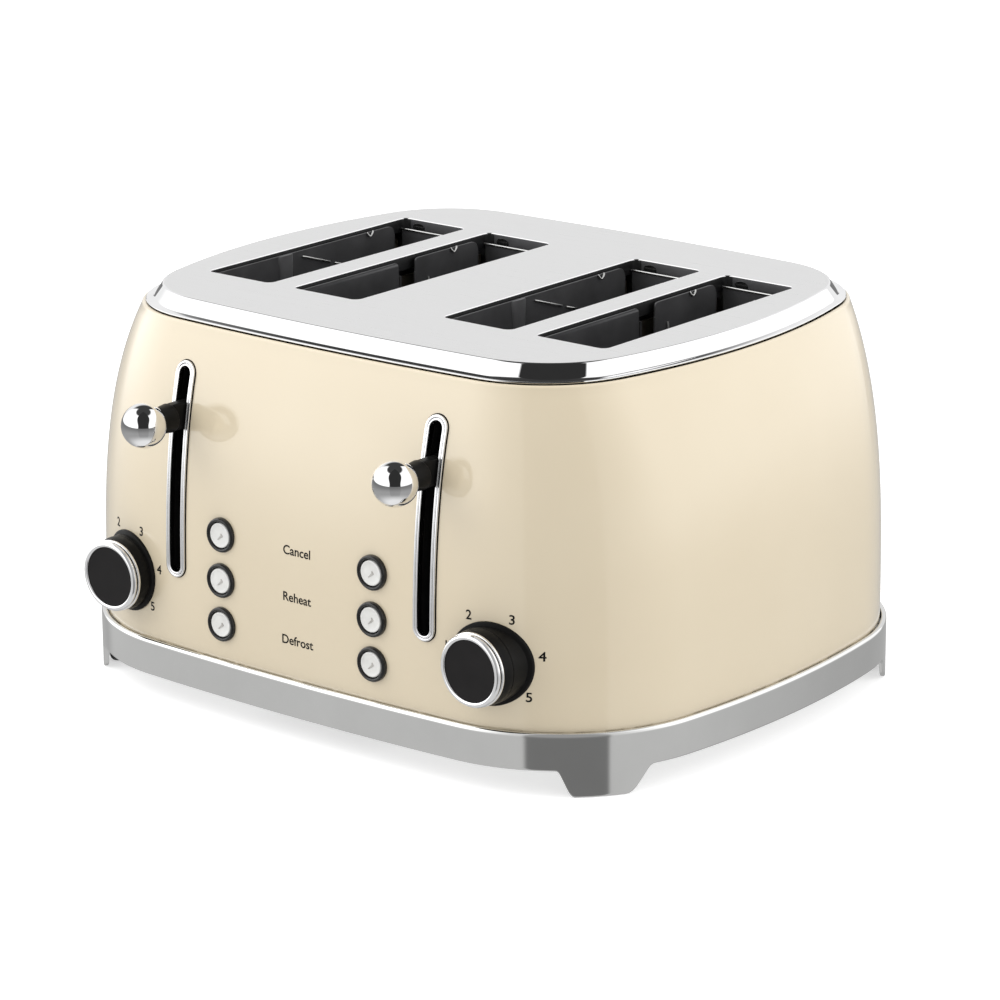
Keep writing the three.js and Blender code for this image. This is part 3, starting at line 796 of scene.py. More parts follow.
class Graph:
    """Sums on a shader tree. A value is a socket or a plain number."""

    def __init__(self, tree):
        self.nodes = tree.nodes
        self.links = tree.links

    def feed(self, socket, value):
        if isinstance(value, (int, float)):
            socket.default_value = value
        else:
            self.links.new(value, socket)

    def math(self, operation, *values):
        node = self.nodes.new("ShaderNodeMath")
        node.operation = operation
        for socket, value in zip(node.inputs, values):
            self.feed(socket, value)
        return node.outputs[0]

    def step(self, value, low, high, first=0.0, second=1.0):
        """Smooth step from first to second while the value goes from low to high."""
        node = self.nodes.new("ShaderNodeMapRange")
        node.interpolation_type = "SMOOTHSTEP"
        node.inputs["From Min"].default_value = low
        node.inputs["From Max"].default_value = high
        node.inputs["To Min"].default_value = first
        node.inputs["To Max"].default_value = second
        self.links.new(value, node.inputs["Value"])
        return node.outputs["Result"]

    def mix(self, share, low, high):
        return self.math("MULTIPLY_ADD", share, self.math("SUBTRACT", high, low), low)

    def background(self, strength):
        node = self.nodes.new("ShaderNodeBackground")
        node.inputs["Color"].default_value = (1, 1, 1, 1)
        self.feed(node.inputs["Strength"], strength)
        return node.outputs[0]

    def choose(self, share, first, second):
        node = self.nodes.new("ShaderNodeMixShader")
        for socket, value in zip(node.inputs, (share, first, second)):
            self.links.new(value, socket)
        return node.outputs[0]

    def ray_kinds(self):
        return self.nodes.new("ShaderNodeLightPath").outputs


def world_direction(graph):
    """Azimuth from the front towards the right, and elevation, both in degrees."""
    coords = graph.nodes.new("ShaderNodeTexCoord")
    split = graph.nodes.new("ShaderNodeSeparateXYZ")
    graph.links.new(coords.outputs["Generated"], split.inputs[0])
    x, y, z = split.outputs
    azimuth = graph.math("DEGREES", graph.math("ARCTAN2", x, graph.math("MULTIPLY", y, -1)))
    return azimuth, graph.math("DEGREES", graph.math("ARCSINE", z))


def gap_shape(graph, azimuth, elevation, widening):
    """1 in the unlit gap between the softboxes and 0 outside it."""
    start, end = GAP_AZIMUTH
    start_blur = 1.2 * GAP_BLUR
    rise = graph.step(graph.math("ADD", azimuth, widening), start - start_blur, start + start_blur)
    fall = graph.step(graph.math("SUBTRACT", azimuth, widening), end - GAP_BLUR, end + GAP_BLUR, 1.0, 0.0)
    low_edge = graph.step(elevation, GAP_FLOOR_EDGE - 6, GAP_FLOOR_EDGE + 2)
    return graph.math("MULTIPLY", graph.math("MULTIPLY", rise, fall), low_edge)


def mirrored_studio(graph, azimuth, elevation, behind):
    """What chrome shows: two softboxes, the gap, a wall behind, a dark ceiling and the floor."""
    walls = graph.step(azimuth, *SEAM_AZIMUTH, LEFT_LEVEL, RIGHT_LEVEL)
    walls = graph.mix(behind, walls, graph.step(elevation, *BACK_TOP, BACK_LEVEL, CEILING_LEVEL))
    walls = graph.mix(graph.step(elevation, *CEILING_EDGE), walls, CEILING_LEVEL)
    horizon, side_floor, below = FLOOR_LEVELS
    ground = graph.step(elevation, -30, -1, side_floor, horizon)
    ground = graph.mix(graph.step(elevation, -75, -35, 1.0, 0.0), ground, below)
    above = graph.step(elevation, -0.6, 0.6)
    lit = graph.mix(above, ground, walls)
    dark = graph.mix(above, graph.math("MULTIPLY", ground, GAP_FLOOR_SHARE), GAP_LEVEL)
    gap = gap_shape(graph, azimuth, elevation, graph.step(elevation, 8, 60, 0.0, GAP_WIDENING))
    return graph.mix(gap, lit, dark)


def soft_studio(graph, azimuth, elevation, behind):
    """What lacquer and brushed steel show: the same studio, softer and with no horizon."""
    left = graph.step(azimuth, *LEFT_GLOW_AZIMUTH, *SHEEN_LEFT)
    right = graph.step(azimuth, *RIGHT_GLOW_AZIMUTH, *SHEEN_RIGHT)
    glow = graph.mix(graph.step(azimuth, *SEAM_AZIMUTH), left, right)
    base = graph.step(graph.math("ABSOLUTE", azimuth), *BASE_AZIMUTH, *SHEEN_BASE)
    soft = graph.math("MULTIPLY_ADD", glow, graph.step(elevation, *SHEEN_RISE), base)
    back = graph.step(elevation, -8, 0, SHEEN_BASE[1], BACK_LEVEL)
    back = graph.mix(graph.step(elevation, *BACK_TOP), back, SOFT_CEILING_LEVEL)
    soft = graph.mix(behind, soft, back)
    soft = graph.mix(graph.step(elevation, *CEILING_EDGE), soft, SOFT_CEILING_LEVEL)
    gap = gap_shape(graph, azimuth, elevation, 0.0)
    return graph.mix(gap, soft, graph.step(elevation, -20, 8, *SOFT_GAP_LEVELS))


def make_world():
    """White for the camera, and a studio of its own for each kind of ray from the object."""
    world = bpy.data.worlds.new("studio")
    bpy.context.scene.world = world
    world.cycles.sampling_method = "NONE"        # so that each kind of ray sees its own studio
    world.use_nodes = True
    world.node_tree.nodes.clear()
    graph = Graph(world.node_tree)
    azimuth, elevation = world_direction(graph)
    behind = graph.step(azimuth, BACK_AZIMUTH - 8, BACK_AZIMUTH + 8, 1.0, 0.0)
    mirrored = mirrored_studio(graph, azimuth, elevation, behind)
    soft = soft_studio(graph, azimuth, elevation, behind)
    kinds = graph.ray_kinds()
    level = graph.mix(kinds["Is Singular Ray"], soft, mirrored)
    ambient = graph.background(AMBIENT_LEVEL)
    shown = graph.choose(kinds["Is Diffuse Ray"], graph.background(level), ambient)
    shown = graph.choose(kinds["Is Camera Ray"], shown, graph.background(1.0))
    output = graph.nodes.new("ShaderNodeOutputWorld")
    graph.links.new(shown, output.inputs["Surface"])


def area_light(name, azimuth, elevation, distance, size, power):
    """A light that points at the object. Only surfaces lit directly show it, not reflections."""
    data = bpy.data.lights.new(name, "AREA")
    data.shape = "RECTANGLE"
    data.size, data.size_y = size
    data.energy = power
    light = bpy.data.objects.new(name, data)
    bpy.context.scene.collection.objects.link(light)
    a, e = math.radians(azimuth), math.radians(elevation)
    away = Vector((math.sin(a) * math.cos(e), -math.cos(a) * math.cos(e), math.sin(e)))
    light.location = place(0, 0, 90) + away * distance
    light.rotation_euler = away.to_track_quat("Z", "Y").to_euler()
    light.visible_glossy = False
    light.visible_camera = False


def make_floor():
    """A plain white floor. The camera sees it lit up; the object gets only its bounced light."""
    size = 3.0
    corners = [(-size, -size, 0), (size, -size, 0), (size, size, 0), (-size, size, 0)]
    mesh = bpy.data.meshes.new("floor")
    mesh.from_pydata(corners, [], [(0, 1, 2, 3)])
    material = new_material("floor_white", (0.86, 0.86, 0.86), 0.9)
    shader = material.node_tree.nodes["Principled BSDF"]
    shader.inputs["Emission Color"].default_value = (1, 1, 1, 1)
    graph = Graph(material.node_tree)
    glow = graph.math("MULTIPLY", graph.ray_kinds()["Is Camera Ray"], FLOOR_GLOW)
    graph.links.new(glow, shader.inputs["Emission Strength"])
    shader.inputs["Specular IOR Level"].default_value = 0.0
    mesh.materials.append(material)
    floor = bpy.data.objects.new("floor", mesh)
    bpy.context.scene.collection.objects.link(floor)
    floor.location.z = -0.0002
    floor.visible_glossy = False


def make_studio():
    scene = bpy.context.scene
    scene.view_settings.view_transform = "Standard"
    scene.view_settings.look = "None"
    make_camera()
    make_world()
    area_light("key_left", -45, 38, 1.6, (1.2, 1.2), 9.5)
    area_light("fill_right", 118, 26, 1.8, (1.2, 1.2), 8.5)
    area_light("top_soft", 160, 78, 1.5, (1.4, 1.4), 6)
    make_floor()


# ------------------------------------------------------------------ body shell


def body_sections():
    """Outlines up the outside, over the rolled lip and down the inside."""
    count = 44
    lip_r = 1.5
    bottom = 26
    straight_top = BODY_LIP_Z - lip_r
    levels = [bottom + (straight_top - bottom) * i / count for i in range(count + 1)]
    sections = [(body_outline(z), z) for z in levels]
    for i in range(1, 9):
        angle = math.pi * i / 8
        z = straight_top + lip_r * math.sin(angle)
        sections.append((body_outline(straight_top, lip_r * (1 - math.cos(angle))), z))
    inner = [straight_top - 2.5, 160, 140, 115, 80, bottom]
    sections.append((body_outline(inner[0], 2 * lip_r), inner[0]))
    sections += [(body_outline(z, BODY_WALL), z) for z in inner[1:]]
    return sections


def prism_y(name, loop, y):
    """A cutter: a front-view loop of (x, z) drawn out between two places along y."""
    count = len(loop)
    points = [(x, y[0], z) for x, z in loop] + [(x, y[1], z) for x, z in loop]
    faces = ring_faces(2, count)
    faces += [tuple(range(count)), tuple(range(count, 2 * count))]
    return make_object(name, points, faces, [ENAMEL])


def circle_loop(x, z, radius, count=48):
    steps = [2 * math.pi * i / count for i in range(count)]
    return [(x + radius * math.cos(a), z + radius * math.sin(a)) for a in steps]


def make_body():
    body = skin("enamel_shell", outline_loops(body_sections()), [ENAMEL], closed=True, sharp=60)
    smooth = body.copy()
    smooth.data = body.data.copy()
    bpy.context.scene.collection.objects.link(smooth)
    smooth.name = "uncut"
    cutters = []
    front = (-150, -105)
    low, high = bezel_ends()
    for side, sign in SIDES:
        cutters.append(prism_y(f"cut_lever_{side}", stadium(sign * LEVER_X, low, high, 4.8), front))
        cutters.append(prism_y(f"cut_boss_{side}", circle_loop(sign * KNOB_X, KNOB_Z, 9.5), front))
        for row, z in enumerate(BUTTON_ROWS):
            hole = circle_loop(sign * BUTTON_X, z, 7.4)
            cutters.append(prism_y(f"cut_button_{side}_{row}", hole, front))
    cutters.append(prism_y("cut_gland", circle_loop(0, GLAND_Z, 6.7), (120, 145)))
    cut_with(body, cutters, smooth)
    fit(body, "chassis", "cream_enamel", "body_shell")


def bezel_ends():
    """Heights of the middles of the lever slot's round ends."""
    return BEZEL_LOW.z + BEZEL_R, BEZEL_HIGH.z - BEZEL_R


def on_panel(loop, height):
    """Front-view loop laid on the body's front and lifted off it by a height."""
    return [(x, panel_y(x, z) - height, z) for x, z in loop]


def at_depth(loop, y):
    """Front-view loop at one place along y."""
    return [(x, y, z) for x, z in loop]


def make_lever_bezels():
    profile = rounded([
        (BEZEL_OPEN_R, -2), (BEZEL_OPEN_R, 1.25), (BEZEL_OPEN_R + 0.85, 1.25), (BEZEL_OPEN_R + 0.95, 0.75),
        (BEZEL_R - 1.0, 0.75), (BEZEL_R - 0.9, 1.2), (BEZEL_R, 1.2), (BEZEL_R, -0.8),
    ], 0.4)
    # The thin black ring round each bezel's foot is painted shadow. It stands in for the contact shadow where
    # the bezel meets the enamel.
    painted_shadow_ring = rounded([(BEZEL_R - 0.1, 0.3), (BEZEL_R + 0.4, 0.3), (BEZEL_R + 0.4, -0.3)], 0.15)
    groove = []
    for a, b in zip(profile, profile[1:]):
        groove.append(max(a[1], b[1]) < BEZEL_GROOVE and b[0] > BEZEL_OPEN_R + 0.5)
    for side, sign in SIDES:
        loops = slot_loops(sign, profile)
        bands = [int(dark) for dark in groove for _ in loops[0]]
        bezel = skin(f"slot_bezel_{side}", loops, [SATIN_CHROME, BLACK], bands, sharp=50)
        fit(bezel, "chassis", "chrome", f"lever_bezel_{side}")
        shadow_piece = skin(f"slot_painted_shadow_{side}", slot_loops(sign, painted_shadow_ring), [BLACK])
        fit(shadow_piece, "chassis", "black_plastic")
        make_slot_channel(side, sign)


def slot_loops(sign, profile):
    """A (radius, height) profile carried round a lever slot, on the panel."""
    low, high = bezel_ends()
    return [on_panel(stadium(sign * LEVER_X, low, high, radius), height) for radius, height in profile]


def make_slot_channel(side, sign):
    """The black liner that a lever's neck runs in. Its black also stands in for the shade deep in the slot,
    so it is partly its own colour and partly painted shade.
    """
    low, high = bezel_ends()
    outer, inner = (stadium(sign * LEVER_X, low, high, radius) for radius in (4.3, 3.5))
    rear = -113.5
    loops = [on_panel(outer, -1.5), at_depth(outer, rear), at_depth(inner, rear), on_panel(inner, -1.5)]
    liner = skin(f"slot_channel_{side}", loops, [BLACK], closed=True, sharp=50)
    fit(liner, "chassis", "black_plastic")


# ------------------------------------------------------------------ top plate


PLATE_STEPS = (12, 24, 8)
PLATE_REACH = 6.7                   # how far the flange stands out past the flat face
PLATE_SPREAD = 2.7                  # how much further it stands out at the front and the rear
LIP_OUT = 0.9
LIP_CORNER = 4.5


def plate_edge():
    """Section of the polished step, from the flat face out over the flange and back under it."""
    edge = [
        (-1.0, TOP_Z), (-0.45, TOP_Z), (-0.1, TOP_Z - 0.08), (0.2, TOP_Z - 0.3), (0.38, TOP_Z - 0.6),
        (0.6, TOP_Z - 1.05), (3.3, FLANGE_Z + 1.3), (3.55, FLANGE_Z + 0.85), (3.8, FLANGE_Z + 0.58),
        (4.2, FLANGE_Z + 0.5), (6.1, FLANGE_Z + 0.45),
        (6.5, FLANGE_Z + 0.3), (PLATE_REACH, FLANGE_Z), (6.5, FLANGE_Z - 0.35), (6.0, FLANGE_Z - 0.5),
        (4.2, FLANGE_Z - 0.3), (1.6, FLANGE_Z + 2.2), (-0.6, TOP_Z - 1.2),
    ]
    sections = []
    for outwards, z in edge:
        extra = max(outwards, 0) / PLATE_REACH * PLATE_SPREAD
        sections.append((PLATE.grown(outwards, outwards + extra), z))
    return sections


def slot_lip(x, first):
    """Points, faces and bands of one bread slot's turned-down lip; its points start at index first."""
    lip = [
        (-0.5, TOP_Z), (0.5, TOP_Z), (0.68, TOP_Z - 0.05), (0.83, TOP_Z - 0.2), (LIP_OUT, TOP_Z - 0.42),
        (LIP_OUT, TOP_Z - 6.8), (0.55, TOP_Z - 7.0), (0.2, TOP_Z - 6.6), (0.2, TOP_Z - 1.2),
    ]
    points = []
    for inwards, z in lip:
        half_width = SLOT_HALF_WIDTH + LIP_OUT - inwards
        half_length = SLOT_HALF_LENGTH + LIP_OUT - inwards
        loop = rounded_rect(x, SLOT_Y, half_width, half_length, LIP_CORNER - inwards)
        points += [(px, py, z) for px, py in loop]
    count = len(loop)
    faces = []
    bands = []
    for i in range(len(lip) - 1):
        for j in range(count):
            k = (j + 1) % count
            low = first + i * count
            faces.append((low + j, low + k, low + count + k, low + count + j))
            rear = loop[j][1] > SLOT_Y + SLOT_HALF_LENGTH - 1 and loop[j][0] > x - 9
            # Below the rounded edge the lip takes the near-black painted-shade steel, except on the rear
            # wall, which takes guide steel.
            bands.append(0 if i < 1 else 1 if i < 4 else 3 if rear else 2)
    return points, faces, bands, range(first, first + count)


def make_top_plate():
    """Flat brushed face with four turned-down slots, and the polished step around it."""
    loops = outline_loops(plate_edge(), PLATE_STEPS)
    count = len(loops[0])
    points = [p for loop in loops for p in loop]
    faces = ring_faces(len(loops), count)
    bands = [0] * count + [1] * (len(faces) - count)
    boundary = [list(range(count))]
    for _, sign in SIDES:
        for x in WELL_X:
            lip_points, lip_faces, lip_bands, hole = slot_lip(sign * x, len(points))
            points += lip_points
            faces += lip_faces
            bands += lip_bands
            boundary.append(list(hole))
    flat = [[Vector(points[i]) for i in loop] for loop in boundary]
    order = [i for loop in boundary for i in loop]
    for triangle in tessellate_polygon(flat):
        faces.append(tuple(order[i] for i in triangle))
        bands.append(0)
    materials = [BRUSHED, CHROME, PAINTED_SHADE_LIP, GUIDE_STEEL]
    plate = make_object("steel_top", points, faces, materials, bands, sharp=28)
    fit(plate, "chassis", "top_steel", "top_plate")


# ------------------------------------------------------------------ base ring with feet

FOOT_X = (139.6, 135.3)             # start of each foot along X, at the table and at the ring's lower edge
FOOT_Y = (96.2, 88.0)
FOOT_TOE_ROUND = 3.4
FOOT_TOP_ROUND = 2.6


def smooth_min(a, b, span):
    """The smaller of two numbers, rounded off where they are closer together than the span."""
    near = max(span - abs(a - b), 0.0) / span
    return min(a, b) - near * near * span / 4


def foot_edge(inwards, width):
    """Height of the lower edge at a distance inwards of a foot's start, with rounded corners."""
    height = RING_BOTTOM * inwards / width
    return smooth_min(-smooth_min(-height, 0.0, FOOT_TOE_ROUND), RING_BOTTOM, FOOT_TOP_ROUND)


def lower_edge(x, y):
    """Height of the ring's lower edge at a place on its outline."""
    front = foot_edge(FOOT_X[0] - abs(x), FOOT_X[0] - FOOT_X[1])
    side = foot_edge(FOOT_Y[0] - abs(y), FOOT_Y[0] - FOOT_Y[1])
    return max(front, side)


def ring_path():
    """Outline points of the ring, close together where the feet start, with the outward direction."""
    loop = RING.points((60, 150, 30))
    path = []
    for i, (x, y) in enumerate(loop):
        nx, ny = loop[(i + 1) % len(loop)]
        px, py = loop[i - 1]
        along = Vector((nx - px, ny - py)).normalized()
        path.append((x, y, along.y, -along.x))
    return path


def make_base_ring():
    round_r = 0.7
    columns = []
    for x, y, ox, oy in ring_path():
        bottom = lower_edge(x, y)
        column = [
            (RING_WALL + 0.1, RING_TOP - 4.0), (RING_WALL, 20.0), (RING_WALL, bottom + round_r),
            (RING_WALL - 0.25, bottom + 0.2), (RING_WALL - 0.7, bottom), (0.7, bottom), (0.25, bottom + 0.2),
            (0.0, bottom + round_r), (0.0, bottom + 1.3), (0.0, 20.0), (0.0, RING_TOP - 2.4),
            (0.0, RING_TOP - 1.5), (0.12, RING_TOP - 0.85),
            (0.5, RING_TOP - 0.3), (1.0, RING_TOP), (RING_WALL - 0.7, RING_TOP),
            (RING_WALL - 0.1, RING_TOP - 0.35), (RING_WALL + 0.1, RING_TOP - 1.0),
        ]
        columns.append([(x - ox * depth, y - oy * depth, z) for depth, z in column])
    ring = skin("base_band", list(zip(*columns)), [SATIN], closed=True, sharp=40)
    cutters = []
    for side, _ in SIDES:
        low, high = cad_box(f"crumb_tray_{side}")
        across = (low.x - 0.8, high.x + 0.8)
        upright = (low.z - 0.5, high.z + 0.5)
        cutters.append(box_mesh(f"cut_tray_{side}", across, (110, 150), upright, SATIN))
    cut_with(ring, cutters)
    finish_mesh(ring.data, 40)
    fit(ring, "chassis", "base_grey", "base_ring")


# ------------------------------------------------------------------ levers


BALL_CUT = 2.5                      # angle from the ball's front, in radians, where it meets its neck
BLADE_HALF = (2.8, 6.2)             # half width and half height of the blade that runs in the slot


def make_levers():
    neck_front = BALL_Y + 8.3
    neck_rear = cad_box("lever_neck_right")[0].y + 7.65
    ball_rear = BALL_Y + BALL_R * 0.80
    arc = [math.pi * i / 40 for i in range(41)]
    outline = [(BALL_R * math.sin(a), BALL_Y - BALL_R * math.cos(a)) for a in arc if a < BALL_CUT]
    outline += [(5.6, ball_rear), (0, ball_rear)]
    collar = rounded([(0, neck_front - 0.6), (5.7, neck_front - 0.6), (6.75, neck_rear), (0, neck_rear)], 0.6)
    half_width, half_height = BLADE_HALF
    for side, sign in SIDES:
        x = sign * LEVER_X
        ball = lathe_y(f"chrome_ball_{side}", outline, x, LEVER_Z, CHROME, 128, sharp=50)
        fit(ball, f"carriage_{side}", "chrome", f"lever_ball_{side}")
        neck = lathe_y(f"neck_collar_{side}", collar, x, LEVER_Z, BLACK)
        across = (x - half_width, x + half_width)
        along = (neck_rear - 1, cad_box(f"lever_neck_{side}")[1].y)
        upright = (LEVER_Z - half_height, LEVER_Z + half_height)
        blade = box_mesh(f"neck_blade_{side}", across, along, upright, BLACK, bevel=1.2)
        whole = joined(f"lever_neck_piece_{side}", [neck, blade])
        fit(whole, f"carriage_{side}", "black_plastic", f"lever_neck_{side}")


# ------------------------------------------------------------------ knobs, buttons and labels


def knob_parts():
    """Name, profile, material and slot of each turned part of a knob."""
    front, rear, r = KNOB_FRONT, KNOB_REAR, KNOB_FRONT_R
    inside = r - 2.2
    grip = rounded([
        (3.0, rear), (KNOB_REAR_R, rear), (KNOB_REAR_R - 0.15, rear - 2.0),
        (r + 0.1, front + 4.1), (r - 2.0, front + 4.0),
    ], 0.12)
    rear_ring = rounded([
        (inside, front + 4.2), (r + 0.15, front + 4.2), (r + 0.15, front + 2.8), (inside, front + 2.8),
    ], 0.5)
    groove = rounded([
        (inside, front + 3.0), (r - 0.9, front + 3.0), (r - 0.9, front + 1.9), (inside, front + 1.8),
    ], 0.2)
    front_ring = rounded([
        (inside, front + 2.2), (r - 0.3, front + 2.2), (r - 0.05, front + 1.3), (r - 0.9, front + 0.1),
        (r - 1.9, front), (r - 2.6, front + 0.4), (r - 2.7, front + 1.4),
    ], 0.45)
    face = [
        (0, front + 0.75), (r - 5, front + 0.7), (r - 2.9, front + 0.65), (r - 2.6, front + 0.95),
        (r - 2.6, front + 2),
    ]
    return (
        ("grip", grip, BLACK, "black_plastic"), ("rear_ring", rear_ring, SATIN_CHROME, "chrome"),
        ("groove", groove, GLOSS_BLACK, "black_plastic"), ("front_ring", front_ring, SATIN_CHROME, "chrome"),
        ("face", face, KNOB_FACE, "black_plastic"),
    )


def make_knobs():
    for side, sign in SIDES:
        for part, profile, material, slot in knob_parts():
            name = f"knob_{part}_{side}"
            piece = lathe_y(name, profile, sign * KNOB_X, KNOB_Z, material, 128)
            node = [f"browning_knob_{side}"] if part == "grip" else []
            fit(piece, f"knob_{side}", slot, *node)
        make_knob_base(side, sign * KNOB_X)


def make_knob_base(side, x):
    """A thin flange that keeps to the panel, and the fixed stub that the knob turns against."""
    face = KNOB_REAR + 0.3
    flange = ((18.75, -0.4), (18.75, 0.9), (18.55, 1.35), (18.1, 1.55), (17.5, 1.6), (17.1, 1.75))
    loops = []
    for radius, height in flange:
        loop = on_panel(circle_loop(x, KNOB_Z, radius, 96), height)
        loops.append([(px, max(py, face), pz) for px, py, pz in loop])
    loops.append(on_panel(circle_loop(x, KNOB_Z, 17.05, 96), 2.2))
    for radius, y in ((17.05, face + 0.1), (16.95, face)):
        loop = on_panel(circle_loop(x, KNOB_Z, radius, 96), 1.7)
        loops.append([(px, min(y, py), pz) for px, py, pz in loop])
    stub = circle_loop(x, KNOB_Z, 3.4, 96)
    loops += [at_depth(stub, face), at_depth(stub, face + 12)]
    base = skin(f"knob_base_{side}", loops, [BLACK])
    fit(base, "chassis", "black_plastic", f"knob_boss_{side}")


def make_buttons():
    for side, sign in SIDES:
        for row, z in enumerate(BUTTON_ROWS, 1):
            make_button_surround(side, row, sign * BUTTON_X, z)
            make_button_cap(side, row, sign * BUTTON_X, z)


def make_button_surround(side, row, x, z):
    """Round-topped black ring, sunk into the panel and open in the middle."""
    base = panel_y(x, z)
    inner, outer = BUTTON_RING
    middle = (outer + inner) / 2
    tube = (outer - inner) / 2
    loops = [on_panel(circle_loop(x, z, outer, 72), -0.5)]
    for i in range(13):
        angle = math.pi * i / 12
        loop = circle_loop(x, z, middle + tube * math.cos(angle), 72)
        loops.append(at_depth(loop, base - (0.5 + 1.55 * math.sin(angle))))
    loops.append(at_depth(circle_loop(x, z, inner, 72), base + 5))
    surround = skin(f"button_surround_{side}_{row}", loops, [GLOSS_BLACK])
    fit(surround, "chassis", "black_plastic", f"button_bezel_{side}_{row}")


def make_button_cap(side, row, x, z):
    """A slightly hollow cap with a raised rim and a small sloping tick laid on it."""
    base = panel_y(x, z)
    face = base - 1.55
    r = BUTTON_R - 0.05
    profile = [
        (0, face + 0.42), (r * 0.3, face + 0.38), (r * 0.6, face + 0.3), (r * 0.80, face + 0.28),
        (r * 0.86, face + 0.08), (r * 0.93, face), (r * 0.98, face + 0.14), (r, face + 0.5),
        (r, base + 6), (0, base + 6),
    ]
    cap = lathe_y(f"button_cap_{side}_{row}", profile, x, z, WHITE, 72, sharp=60)
    fit(cap, f"button_{side}_{row}", "button_white", f"button_{side}_{row}")
    wedge = [(-1.7, -2.1), (-1.1, -2.3), (1.5, -0.5), (1.7, -0.1), (0.7, 1.1), (0.3, 0.8), (0.4, 0.0)]

    def to_point(u, v, depth):
        return x + u, face + 0.2 + depth, z + v

    tick = sheet(f"button_tick_{side}_{row}", wedge, [], 0.22, to_point, TICK, 0.08)
    fit(tick, f"button_{side}_{row}", "bare_steel")


LABEL_ROWS = (("Cancel", 88.0), ("Reheat", 66.6), ("Defrost", 46.6))
LABEL_X = 1.0
LABEL_HEIGHT = 5.9
DIAL_HEIGHT = 6.0
DIAL_RADIUS = 21.9
DIAL_ANGLES = (-80, -27, 26, 79, 131)
DIAL_X = 106.4
DIAL_Z = 58.4
PRINT_BOLDNESS = 0.012              # how much wider a stroke gets, as a share of the size of the type
PRINT_HEIGHT = 0.03                 # how far the print stands off the enamel


def printed(name, text, x, z, size):
    """Flat print that keeps to the curve of the body's front."""
    curve = bpy.data.curves.new(name, "FONT")
    curve.body = text
    curve.align_x = "CENTER"
    curve.align_y = "CENTER"
    curve.size = size
    curve.extrude = 0.04
    curve.resolution_u = 5
    curve.bevel_depth = PRINT_BOLDNESS * size
    curve.bevel_resolution = 0
    obj = mesh_from_curve(name, curve, PRINT)
    for vertex in obj.data.vertices:
        px, pz = x + vertex.co.x, z + vertex.co.y
        vertex.co = place(px, panel_y(px, pz) - PRINT_HEIGHT - vertex.co.z, pz)
    obj.data.update()
    fit(obj, "chassis", "black_plastic")


def make_labels():
    for text, z in LABEL_ROWS:
        printed(f"label_{text.lower()}", text, LABEL_X, z, LABEL_HEIGHT)
    for side, sign in SIDES:
        for i, degrees in enumerate(DIAL_ANGLES, 1):
            angle = math.radians(degrees)
            x = sign * DIAL_X + DIAL_RADIUS * math.sin(angle)
            z = DIAL_Z + DIAL_RADIUS * math.cos(angle)
            printed(f"dial_{side}_{i}", str(i), x, z, DIAL_HEIGHT)


# ------------------------------------------------------------------ inside the bread wells

GUIDE_REACH = 17.2                  # from the middle of a well to the middle of a guide plate
GUIDE_THICK = 0.9
GUIDE_TOP = 182.4
GUIDE_BOTTOM = 31.5
GUIDE_FRONT = -62.0
GUIDE_REAR = 66.0
GUIDE_TIES = {"a": (-50, 58), "b": (-42, 66)}
GUIDE_WIRE = 0.42
WELL_WALL = 19.0
END_PLATE_Y = 73.2

ROD_Y = -88.0
SPRING_TURNS = 7
SPRING_RADIUS = 4.5
SPRING_WIRE = 0.7
SPRING_Z = (16.2, 99.0)


def wells():
    """Side, name and middle of each bread well."""
    for side, sign in SIDES:
        for name, x in zip(("inner", "outer"), WELL_X):
            yield side, name, sign * x


def guide_outline(split):
    """Side view of a guide plate. A split one has a gap from its top between two panels."""
    top, bottom = GUIDE_TOP, GUIDE_BOTTOM
    corners = [
        (GUIDE_FRONT, bottom, 5), (72, bottom, 5), (72, 118, 8), (60, 150, 10),
        (GUIDE_REAR, 171, 9), (GUIDE_REAR, top, 8),
    ]
    if split:
        corners += [(19.5, top, 2.5), (17.5, 96, 4), (9, 96, 4), (7.5, top, 2.5)]
    corners.append((GUIDE_FRONT, top, 3))
    return rounded_loop(corners, 7)


def guide_windows():
    """Openings low in the plate that let the heat through, between slanting bars."""
    lean = 3
    windows = []
    for middle in (-50, -34, -18, -2, 30, 46):
        low = [(middle - 5 - lean, 44, 3), (middle + 5 - lean, 44, 3)]
        high = [(middle + 5 + lean, 86, 3), (middle - 5 + lean, 86, 3)]
        windows.append(rounded_loop(low + high, 4))
    for middle in (-48, -30, 38):
        low = [(middle - 6, 102, 3), (middle + 6, 102, 3)]
        high = [(middle + 6, 148, 3), (middle - 6, 148, 3)]
        windows.append(rounded_loop(low + high, 4))
    return windows


